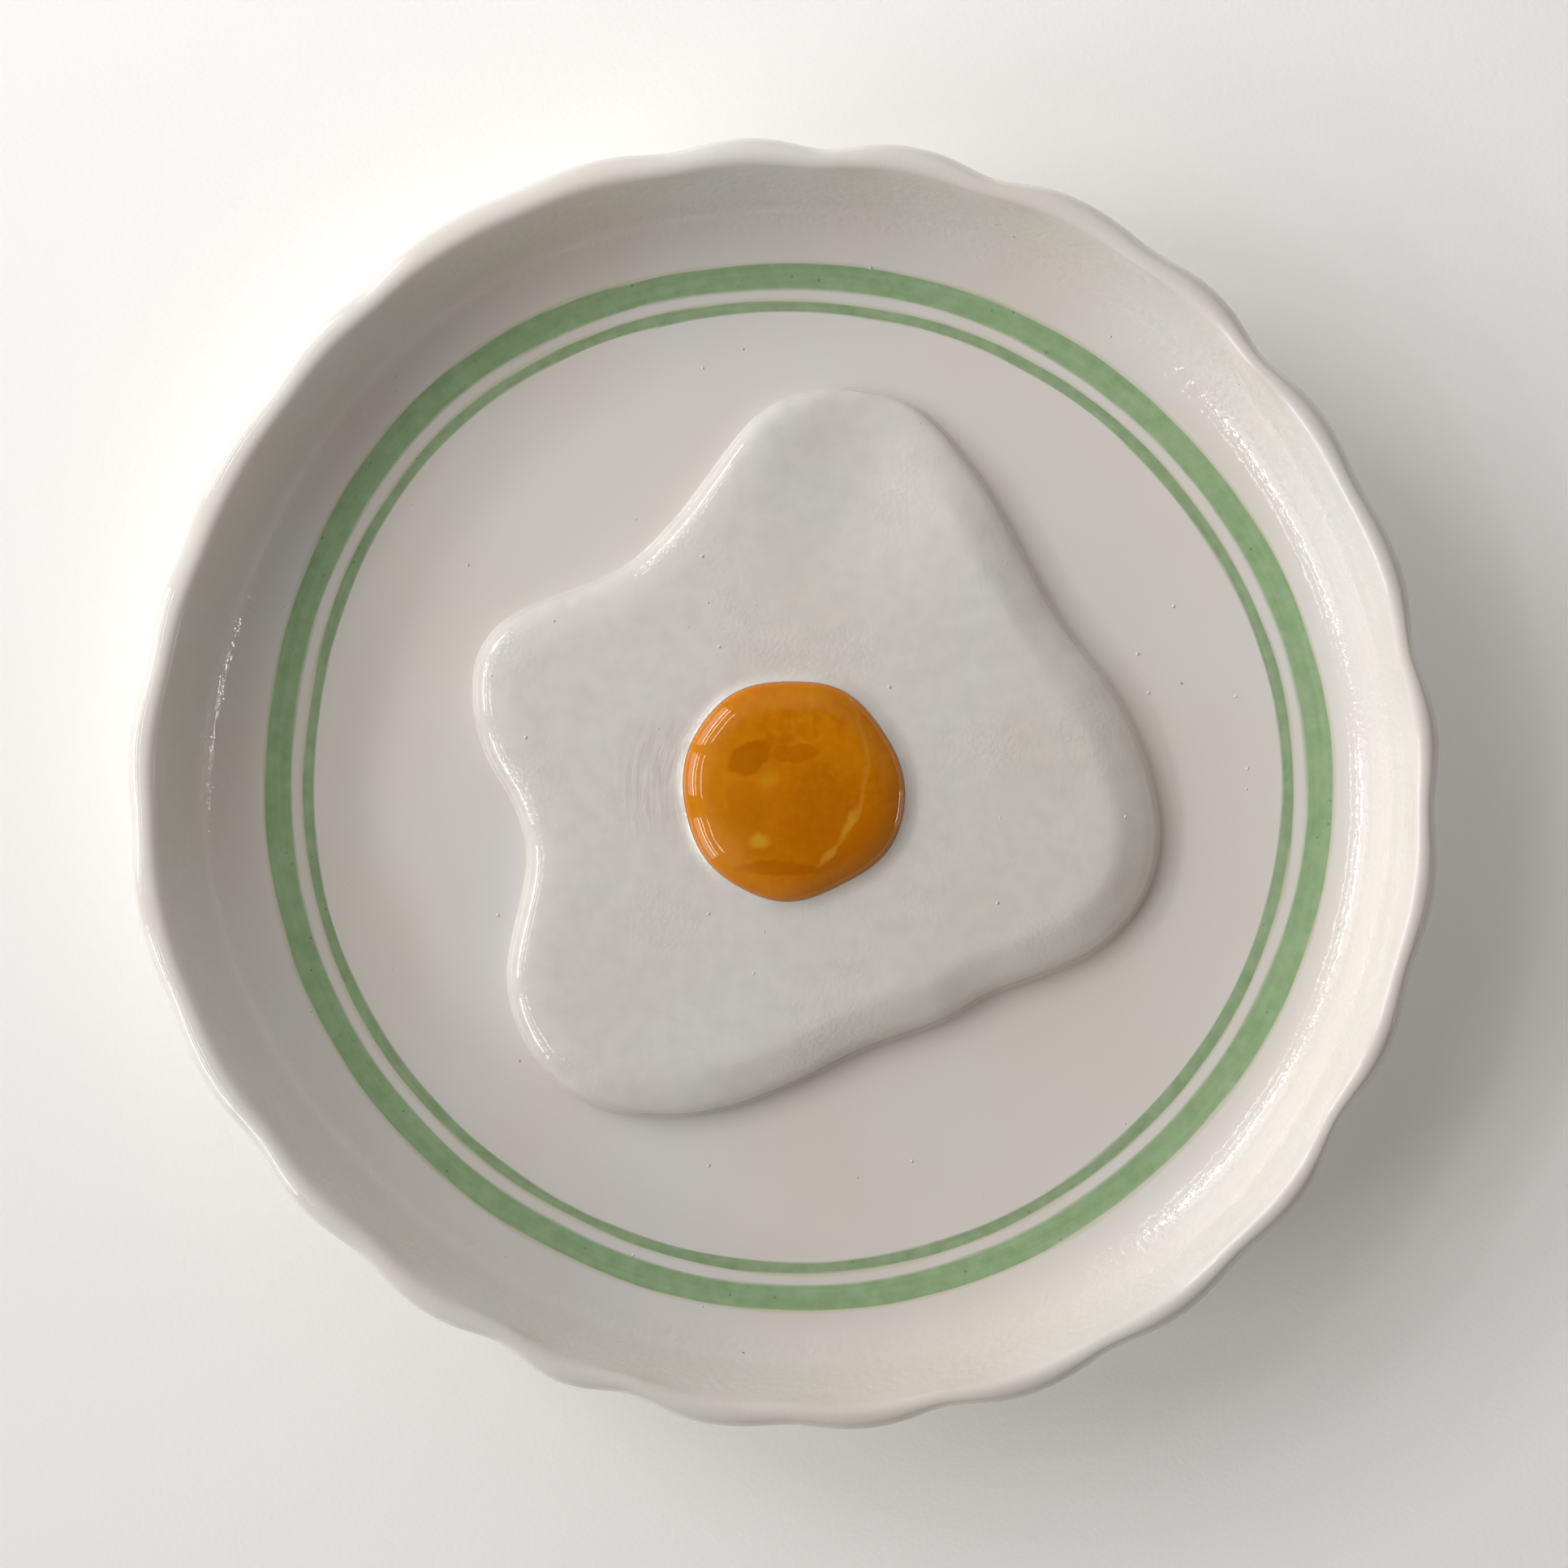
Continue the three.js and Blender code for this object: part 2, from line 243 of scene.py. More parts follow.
def mesh_object(name: str, points: np.ndarray, faces: list[tuple[int, ...]]) -> Piece:
    """Make a smooth-shaded object whose place is in its mesh.

    Args:
        name: Name of the piece.
        points: Vertices in mm.
        faces: Corner numbers of each face.

    Returns:
        The object, linked to the scene.
    """
    mesh = bpy.data.meshes.new(name)
    mesh.from_pydata((points * MM).tolist(), [], faces)
    work = bmesh.new()
    work.from_mesh(mesh)
    bmesh.ops.recalc_face_normals(work, faces=work.faces)
    work.to_mesh(mesh)
    work.free()
    mesh.shade_smooth()
    piece = bpy.data.objects.new(name, mesh)
    bpy.context.scene.collection.objects.link(piece)
    return piece


def solid_of_rings(
    name: str, top: Sequence[float], rings: np.ndarray, base: Sequence[float]
) -> Piece:
    """Close a stack of equal rings into one solid.

    Args:
        name: Name of the piece.
        top: Middle of its top, in mm.
        rings: Array of rings, stations and coordinates, from the top's middle outwards and under.
        base: Middle of its base, in mm.

    Returns:
        The closed piece.
    """
    count, sides, _ = rings.shape
    points = np.vstack([[top], rings.reshape(-1, 3), [base]])
    last = len(points) - 1
    faces: list[tuple[int, ...]] = []
    for side in range(sides):
        following = (side + 1) % sides
        faces.append((0, 1 + side, 1 + following))
        for ring in range(count - 1):
            near, far = 1 + ring * sides, 1 + (ring + 1) * sides
            faces.append((near + side, far + side, far + following, near + following))
        edge = 1 + (count - 1) * sides
        faces.append((last, edge + following, edge + side))
    return mesh_object(name, points, faces)


def line_of_points(
    name: str, points: np.ndarray, closed: bool, notes: dict[str, np.ndarray]
) -> Piece:
    """Make an object of edges alone, with a number noted at each point under each name.

    Args:
        name: Name of the object.
        points: Vertices in mm.
        closed: Whether the last point joins the first.
        notes: Attribute names with one value for each point.

    Returns:
        The object, linked to the scene.
    """
    mesh = bpy.data.meshes.new(name)
    edges = [(i, i + 1) for i in range(len(points) - 1)]
    if closed:
        edges.append((len(points) - 1, 0))
    mesh.from_pydata((points * MM).tolist(), edges, [])
    for note, values in notes.items():
        attribute = mesh.attributes.new(note, "FLOAT", "POINT")
        attribute.data.foreach_set("value", np.asarray(values, np.float32))
    line = bpy.data.objects.new(name, mesh)
    bpy.context.scene.collection.objects.link(line)
    return line


def open_group(tree: Tree, inputs: dict[str, str], output: str) -> None:
    """Give a Geometry Nodes group its named inputs and its one output.

    Args:
        tree: The group's tree.
        inputs: Names of the inputs, each with the kind of its socket.
        output: Name of the geometry that it gives.
    """
    for name, kind in inputs.items():
        tree.interface.new_socket(name, in_out="INPUT", socket_type=f"NodeSocket{kind}")
    tree.interface.new_socket(output, in_out="OUTPUT", socket_type="NodeSocketGeometry")


def set_modifier_inputs(modifier: bpy.types.Modifier, values: dict[str, Any]) -> None:
    """Give a Geometry Nodes modifier its inputs by their names, through their identifiers."""
    for item in modifier.node_group.interface.items_tree:
        if item.item_type == "SOCKET" and item.in_out == "INPUT" and item.name in values:
            modifier[item.identifier] = values[item.name]


def bake(source: Piece, name: str) -> Piece:
    """Turn an object with live Geometry Nodes into a plain mesh piece and drop the source.

    Args:
        source: Object that carries the modifier.
        name: Name of the finished piece.

    Returns:
        The plain piece.
    """
    graph = bpy.context.evaluated_depsgraph_get()
    mesh = bpy.data.meshes.new_from_object(
        source.evaluated_get(graph), preserve_all_data_layers=True, depsgraph=graph
    )
    mesh.name = name
    piece = bpy.data.objects.new(name, mesh)
    bpy.context.scene.collection.objects.link(piece)
    bpy.data.objects.remove(source)
    return piece


def way_to(turn_deg: float, lift_deg: float) -> Vector:
    """Unit vector towards a turn round the plate from +X and a lift above the horizon."""
    turn, lift = math.radians(turn_deg), math.radians(lift_deg)
    level = math.cos(lift)
    return Vector((level * math.cos(turn), level * math.sin(turn), math.sin(lift)))


class Slot(Enum):
    """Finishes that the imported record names."""

    CREAM = "cream_glaze"
    WHITE = "white_glaze"
    AMBER = "amber_glaze"


# ---------------------------------------------------------------- finishes


def start_material(name: str, constants: dict[str, Any]) -> tuple[bpy.types.Material, Tree, Node]:
    """Begin a material with an empty tree.

    Args:
        name: What the real material is.
        constants: Values that are the same all over the surface, by the shader's input names.

    Returns:
        The material, its tree and its Principled shader, linked to the output.
    """
    material = bpy.data.materials.new(name)
    material.use_nodes = True
    tree = material.node_tree
    tree.nodes.clear()
    shader = add_node(tree, "ShaderNodeBsdfPrincipled", constants)
    add_node(tree, "ShaderNodeOutputMaterial", {"Surface": shader})
    return material, tree, shader


def millimetres(tree: Tree) -> Node:
    """Give a tree the place on the object in millimetres."""
    place = add_node(tree, "ShaderNodeTexCoord").outputs["Object"]
    return add_node(tree, "ShaderNodeVectorMath", {0: place, "Scale": 1 / MM}, operation="SCALE")


def cloud(
    tree: Tree, place: Any, size: float, low: float, high: float, detail: float = 2.0
) -> Node:
    """Random patches of one size, remapped to a range of values.

    Args:
        tree: Tree that takes the nodes.
        place: Output with a place in mm.
        size: Size of a patch in mm.
        low: Value between patches.
        high: Value in a patch.
        detail: Octaves of finer patches inside.

    Returns:
        Node whose output is the value.
    """
    settings = {"Vector": place, "Scale": 1 / size, "Detail": detail, "Roughness": 0.5}
    patches = add_node(tree, "ShaderNodeTexNoise", settings).outputs["Fac"]
    least, most = NOISE_SPAN
    span = {"Value": patches, "From Min": least, "From Max": most, "To Min": low, "To Max": high}
    return add_node(tree, "ShaderNodeMapRange", span)


def between(
    tree: Tree, distance: Any, low: float, high: float, soft_low: float, soft_high: float
) -> Node:
    """Mask that is one between two distances.

    Args:
        tree: Tree that takes the nodes.
        distance: Output with a distance in mm.
        low: Where the band starts, in mm.
        high: Where it ends, in mm.
        soft_low: Width of its blurred start, in mm.
        soft_high: Width of its blurred end, in mm.

    Returns:
        Node whose output is the mask.
    """
    ramps = []
    for at, soft, first, last in ((low, soft_low, 0.0, 1.0), (high, soft_high, 1.0, 0.0)):
        span = {"From Min": at - soft / 2, "From Max": at + soft / 2, "To Min": first, "To Max": last}
        ramps.append(
            add_node(
                tree,
                "ShaderNodeMapRange",
                {"Value": distance, **span},
                interpolation_type="SMOOTHSTEP",
            )
        )
    return add_node(tree, "ShaderNodeMath", {0: ramps[0], 1: ramps[1]}, operation="MULTIPLY")


def drawn_round(
    tree: Tree, place: Any, radius: Any, usual_radius: float, length: float, width: float
) -> Node:
    """Coordinates that stretch a pattern round an axis, as a brush on a turning wheel does.

    Args:
        tree: Tree that takes the nodes.
        place: Output with a place from the axis, in mm.
        radius: Output with the distance from the axis, in mm.
        usual_radius: Distance from the axis at which a mark has its right length, in mm.
        length: Size of a mark round the axis, in mm.
        width: Size of a mark away from the axis, in mm.

    Returns:
        Node whose output is the stretched place, where one is the size of a mark.
    """
    flat = add_node(tree, "ShaderNodeVectorMath", {0: place, 1: FLATTEN}, operation="MULTIPLY")
    unit = add_node(tree, "ShaderNodeVectorMath", {0: flat}, operation="NORMALIZE")
    marks_round = usual_radius / length
    round_it = add_node(tree, "ShaderNodeVectorMath", {0: unit, "Scale": marks_round}, operation="SCALE")
    apart = add_node(tree, "ShaderNodeMath", {0: radius, 1: 1 / width}, operation="MULTIPLY")
    across = add_node(tree, "ShaderNodeCombineXYZ", {"Z": apart})
    return add_node(tree, "ShaderNodeVectorMath", {0: round_it, 1: across}, operation="ADD")


def coat(tree: Tree, under: Any, over: Any, mask: Any, cover: float = 1.0) -> Socket:
    """Lay one colour over another.

    Args:
        tree: Tree that takes the nodes.
        under: Colour below, as a value or an output.
        over: Colour above, as a hex code or an output.
        mask: Output that is one where it lies.
        cover: How much it hides there, 0 to 1.

    Returns:
        Output with the colour.
    """
    above = srgb(over) if isinstance(over, str) else over
    share = add_node(tree, "ShaderNodeMath", {0: mask, 1: cover}, operation="MULTIPLY")
    mix = add_node(tree, "ShaderNodeMix", {0: share, 6: under, 7: above}, data_type="RGBA")
    return mix.outputs[2]


def add_up(tree: Tree, parts: Sequence[tuple[Any, float]]) -> Any:
    """Add outputs, each times its own weight.

    Args:
        tree: Tree that takes the nodes.
        parts: Outputs with their weights.

    Returns:
        Node whose output is the sum.
    """
    total: Any = 0.0
    for output, weight in parts:
        terms = {0: output, 1: weight, 2: total}
        total = add_node(tree, "ShaderNodeMath", terms, operation="MULTIPLY_ADD")
    return total


def raise_surface(tree: Tree, shader: Node, heights: Sequence[tuple[Any, float]]) -> None:
    """Give a surface relief that is too fine for its mesh.

    Args:
        tree: Tree that takes the nodes.
        shader: Principled shader of the surface.
        heights: Outputs, each with the height in mm that it is multiplied by.
    """
    height = add_up(tree, heights)
    bump = add_node(tree, "ShaderNodeBump", {"Height": height, "Distance": MM, "Strength": 1.0})
    tree.links.new(bump.outputs["Normal"], shader.inputs["Normal"])


@dataclass(frozen=True)
class Mottle:
    """A colour that covers the one below in soft random patches of one size in mm."""

    colour: str
    size: float
    least: float
    most: float
    detail: float = 2.0

    def lay(self, tree: Tree, place: Any, under: Any) -> Socket:
        """Lay the patches over a colour.

        Args:
            tree: Tree that takes the nodes.
            place: Output with a place in mm.
            under: Colour below, as a value or an output.

        Returns:
            Output with the colour.
        """
        patches = cloud(tree, place, self.size, self.least, self.most, self.detail)
        return coat(tree, under, self.colour, patches)


@dataclass(frozen=True)
class Grains:
    """Small round specks strewn at random: their colour, sizes in mm and height in mm."""

    colour: str
    cover: float
    spacing: float
    radius: float
    share: float
    height: float = 0.0

    def mask(self, tree: Tree, place: Any) -> Node:
        """Find the specks: a share of the cells, which lie spacing apart, hold one.

        Args:
            tree: Tree that takes the nodes.
            place: Output with a place in mm.

        Returns:
            Node whose output is one inside a speck.
        """
        cells = add_node(tree, "ShaderNodeTexVoronoi", {"Vector": place, "Scale": 1 / self.spacing})
        edge = self.radius / self.spacing
        span = {"From Min": edge / 2, "From Max": edge, "To Min": 1.0, "To Max": 0.0}
        near = add_node(
            tree,
            "ShaderNodeMapRange",
            {"Value": cells.outputs["Distance"], **span},
            interpolation_type="SMOOTHSTEP",
        )
        draw = add_node(tree, "ShaderNodeSeparateColor", {"Color": cells.outputs["Color"]}).outputs["Red"]
        chosen = add_node(tree, "ShaderNodeMath", {0: draw, 1: self.share}, operation="LESS_THAN")
        return add_node(tree, "ShaderNodeMath", {0: near, 1: chosen}, operation="MULTIPLY")

    def lay(self, tree: Tree, under: Any, mask: Any) -> Socket:
        """Lay the specks' colour over the one below, where their mask is one."""
        return coat(tree, under, self.colour, mask, self.cover)


@dataclass(frozen=True)
class Swell:
    """Random hills and hollows in a glaze: their size and height in mm."""

    size: float
    height: float
    detail: float = 1.0

    def rise(self, tree: Tree, place: Any) -> tuple[Node, float]:
        """Give the hills, from -0.5 to 0.5, with the height that they are multiplied by."""
        return cloud(tree, place, self.size, -0.5, 0.5, self.detail), self.height


@dataclass(frozen=True)
class PaintedBand:
    """One ring of underglaze paint, banded on by brush as the plate turned."""

    starts: float
    ends: float
    soft_start: float
    soft_end: float
    colour: str


@dataclass(frozen=True)
class CreamGlaze:
    """Glossy off-white glaze, brushed over buff earthenware and fired once.

    The eye sees a warm white that is nearly even, small waves in the shine where the glaze pooled
    over brush marks, hair-thin marks of the brush up the rim, a few pinholes and iron specks, and
    two bands of green paint under it, mottled where the paint lay thin and pale at its outer edge.
    """

    name: str = "glazed_earthenware_cream"
    glaze: str = "#e5e2e0"
    warmth: Mottle = Mottle("#e4dcd0", 34.0, 0.0, 0.7)
    pinholes: Grains = Grains("#7d7466", 0.7, spacing=9.0, radius=0.28, share=0.3, height=-0.06)
    bands: tuple[PaintedBand, ...] = (
        PaintedBand(83.5, 87.7, 0.8, 0.35, "#8dac7e"),
        PaintedBand(79.6, 81.45, 0.5, 0.4, "#8aa27b"),
    )
    stroke_length: float = 26.0
    stroke_width: float = 0.9
    stroke_detail: float = 5.0
    edge_waver: float = 0.5
    thin_paint: str = "#b1c8a3"
    thin_in_strokes: float = 0.3
    thin_in_patches: float = 0.45
    thin_patch: float = 2.4
    thin_detail: float = 4.0
    flecks: Grains = Grains("#6f8a64", 0.6, spacing=2.6, radius=0.34, share=0.5)
    halo: str = "#c0bf8c"
    halo_cover: float = 0.35
    halo_inside: float = 0.25
    halo_outside: float = 0.45
    halo_soft_inside: float = 0.3
    halo_soft_outside: float = 0.5
    hair: str = "#b9b0a6"
    hair_cover: float = 0.05
    hair_height: float = 0.003
    hair_width: float = 0.42
    hair_length: float = 5.0
    rim_middle: float = 100.0
    hairs_start: float = 97.0
    hairs_end: float = 103.0
    hairs_fade_in: float = 4.0
    hairs_fade_out: float = 2.0
    swells: tuple[Swell, ...] = (Swell(9.0, 0.04), Swell(2.2, 0.016, 2.0))
    wall_marks: Swell = Swell(1.3, 0.05, 2.0)
    wall_starts: float = 9.5
    wall_ends: float = 24.0
    wall_fade: float = 3.0
    roughness: float = 0.07
    ior: float = 1.5

    def build(self) -> bpy.types.Material:
        """Make the material."""
        constants = {"Roughness": self.roughness, "IOR": self.ior}
        material, tree, shader = start_material(self.name, constants)
        place = millimetres(tree)
        radius = add_node(tree, "ShaderNodeAttribute", attribute_name="paint_radius").outputs["Fac"]
        waver = add_node(tree, "ShaderNodeAttribute", attribute_name="band_wobble").outputs["Fac"]
        inner_edge = self.bands[0].starts
        along = drawn_round(tree, place, radius, inner_edge, self.stroke_length, self.stroke_width)
        strokes = cloud(tree, along, 1.0, 0.0, 1.0, self.stroke_detail)
        distance = add_up(tree, [(radius, 1.0), (waver, -1.0), (strokes, self.edge_waver)])
        colour = self.warmth.lay(tree, place, srgb(self.glaze))
        for band in self.bands:
            colour = self.paint(tree, colour, band, distance, strokes, place)
        hairs = self.rim_hairs(tree, place, radius)
        colour = coat(tree, colour, self.hair, hairs, self.hair_cover)
        holes = self.pinholes.mask(tree, place)
        tree.links.new(self.pinholes.lay(tree, colour, holes), shader.inputs["Base Color"])
        heights = [swell.rise(tree, place) for swell in self.swells]
        heights.append((self.worked_wall(tree, place), self.wall_marks.height))
        heights.append((hairs, self.hair_height))
        heights.append((holes, self.pinholes.height))
        raise_surface(tree, shader, heights)
        return material

    def paint(
        self, tree: Tree, under: Any, band: PaintedBand, distance: Any, strokes: Any, place: Any
    ) -> Socket:
        """Lay one band over the glaze colour.

        Args:
            tree: Tree that takes the nodes.
            under: Colour below.
            band: The band.
            distance: Output with the wavering distance from the middle, in mm.
            strokes: Output with the brush's streaks.
            place: Output with a place in mm.

        Returns:
            Output with the colour.
        """
        patches = cloud(tree, place, self.thin_patch, 0.0, 1.0, self.thin_detail)
        thin = add_up(tree, [(strokes, self.thin_in_strokes), (patches, self.thin_in_patches)])
        body = coat(tree, srgb(band.colour), self.thin_paint, thin)
        body = self.flecks.lay(tree, body, self.flecks.mask(tree, place))
        low, high = band.ends - self.halo_inside, band.ends + self.halo_outside
        fringe = between(tree, distance, low, high, self.halo_soft_inside, self.halo_soft_outside)
        haloed = coat(tree, under, self.halo, fringe, self.halo_cover)
        painted = between(tree, distance, band.starts, band.ends, band.soft_start, band.soft_end)
        return coat(tree, haloed, body, painted)

    def rim_hairs(self, tree: Tree, place: Any, radius: Any) -> Node:
        """Fine marks that a dragged brush left up the rim, close beside each other.

        Args:
            tree: Tree that takes the nodes.
            place: Output with a place in mm.
            radius: Output with the distance from the middle, in mm.

        Returns:
            Node whose output is one in a mark.
        """
        combed = drawn_round(tree, place, radius, self.rim_middle, self.hair_width, self.hair_length)
        hairs = cloud(tree, combed, 1.0, 0.0, 1.0, 1.0)
        start, end = self.hairs_start, self.hairs_end
        near_lip = between(tree, radius, start, end, self.hairs_fade_in, self.hairs_fade_out)
        return add_node(tree, "ShaderNodeMath", {0: hairs, 1: near_lip}, operation="MULTIPLY")

    def worked_wall(self, tree: Tree, place: Any) -> Node:
        """Marks that the fingers and the brush left on the wall, and nowhere else.

        Args:
            tree: Tree that takes the nodes.
            place: Output with a place in mm.

        Returns:
            Node whose output is the marks, from -0.5 to 0.5.
        """
        marks, _ = self.wall_marks.rise(tree, place)
        up = add_node(tree, "ShaderNodeSeparateXYZ", {0: place}).outputs["Z"]
        fade = self.wall_fade
        on_wall = between(tree, up, self.wall_starts, self.wall_ends, fade, fade)
        return add_node(tree, "ShaderNodeMath", {0: marks, 1: on_wall}, operation="MULTIPLY")


@dataclass(frozen=True)
class WhiteGlaze:
    """Thick milky glaze over the modelled egg white.

    The eye sees a cool, very smooth white, a shade lighter than the plate, faintly mottled, with soft
    finger hollows, brush streaks that curve round the yolk's left side and a few pinholes and specks.
    """

    name: str = "glazed_earthenware_white"
    glaze: str = "#e5e2df"
    mottles: tuple[Mottle, ...] = (
        Mottle("#e0dacf", 22.0, 0.0, 0.7),
        Mottle("#d3d0cd", 3.2, -0.1, 0.4, 3.0),
    )
    pinholes: Grains = Grains("#6e675c", 0.7, spacing=8.0, radius=0.24, share=0.35, height=-0.06)
    swells: tuple[Swell, ...] = (Swell(7.0, 0.035), Swell(1.2, 0.012, 2.0))
    grain: Swell = Swell(0.7, 0.03)
    grain_patch: float = 15.0
    grain_least: float = -0.4
    streak: str = "#cdc5b6"
    streak_cover: float = 0.5
    streak_height: float = 0.05
    streak_width: float = 0.9
    streak_length: float = 5.0
    streak_detail: float = 3.0
    streaks_at: tuple[float, float, float] = (-20.5, 2.5, 0.0)
    streaks_reach: float = 8.45
    streaks_fade: float = 9.1
    roughness: float = 0.06
    ior: float = 1.5

    def build(self) -> bpy.types.Material:
        """Make the material."""
        constants = {"Roughness": self.roughness, "IOR": self.ior}
        material, tree, shader = start_material(self.name, constants)
        place = millimetres(tree)
        colour: Any = srgb(self.glaze)
        for mottle in self.mottles:
            colour = mottle.lay(tree, place, colour)
        streaks = self.streaks(tree, place)
        colour = coat(tree, colour, self.streak, streaks, self.streak_cover)
        holes = self.pinholes.mask(tree, place)
        tree.links.new(self.pinholes.lay(tree, colour, holes), shader.inputs["Base Color"])
        heights = [swell.rise(tree, place) for swell in self.swells]
        grains, grain_height = self.grain.rise(tree, place)
        patches = cloud(tree, place, self.grain_patch, self.grain_least, 1.0, 1.0)
        grained = add_node(tree, "ShaderNodeMath", {0: grains, 1: patches}, operation="MULTIPLY")
        heights.append((grained, grain_height))
        heights.append((streaks, self.streak_height))
        heights.append((holes, self.pinholes.height))
        raise_surface(tree, shader, heights)
        return material

    def streaks(self, tree: Tree, place: Any) -> Node:
        """Marks of a brush that was led round the yolk, strongest on its left.

        Args:
            tree: Tree that takes the nodes.
            place: Output with a place in mm.

        Returns:
            Node whose output is one in a mark.
        """
        middle = (*YOLK_MIDDLE, 0.0)
        local = add_node(tree, "ShaderNodeVectorMath", {0: place, 1: middle}, operation="SUBTRACT")
        flat = add_node(tree, "ShaderNodeVectorMath", {0: local, 1: FLATTEN}, operation="MULTIPLY")
        radius = add_node(tree, "ShaderNodeVectorMath", {0: flat}, operation="LENGTH").outputs["Value"]
        away = math.hypot(*self.streaks_at)
        drawn = drawn_round(tree, flat, radius, away, self.streak_length, self.streak_width)
        marks = cloud(tree, drawn, 1.0, 0.0, 1.0, self.streak_detail)
        ends = {0: flat, 1: self.streaks_at}
        off = add_node(tree, "ShaderNodeVectorMath", ends, operation="DISTANCE").outputs["Value"]
        near = between(tree, off, -FAR_OFF, self.streaks_reach, 1.0, self.streaks_fade)
        return add_node(tree, "ShaderNodeMath", {0: marks, 1: near}, operation="MULTIPLY")


@dataclass(frozen=True)
class Blotch:
    """One patch of colour on the yolk, placed from the yolk's middle: the yolk lays its own glaze spots with
    these, and also patches of painted reflection, painted light and painted shade.
    """

    across: float
    along: float
    half_width: float
    half_height: float
    turn_deg: float
    colour: str
    cover: float
    sharpness: float

    def lay(self, tree: Tree, local: Any, under: Any) -> Socket:
        """Lay the patch over the colour below.

        Args:
            tree: Tree that takes the nodes.
            local: Output with the place from the yolk's middle, in mm.
            under: Colour below.

        Returns:
            Output with the colour.
        """
        frame = {
            "Location": (self.across, self.along, 0.0),
            "Rotation": (0.0, 0.0, math.radians(self.turn_deg)),
            "Scale": (self.half_width, self.half_height, ENDLESS),
        }
        centred = add_node(tree, "ShaderNodeMapping", {0: local, **frame}, vector_type="TEXTURE")
        away = add_node(tree, "ShaderNodeVectorMath", {0: centred}, operation="LENGTH").outputs["Value"]
        soft = 1 / self.sharpness
        inside = add_node(
            tree,
            "ShaderNodeMapRange",
            {"Value": away, "From Min": 1 - soft, "From Max": 1 + soft, "To Min": 1.0, "To Max": 0.0},
            interpolation_type="SMOOTHSTEP",
        )
        return coat(tree, under, self.colour, inside, self.cover)


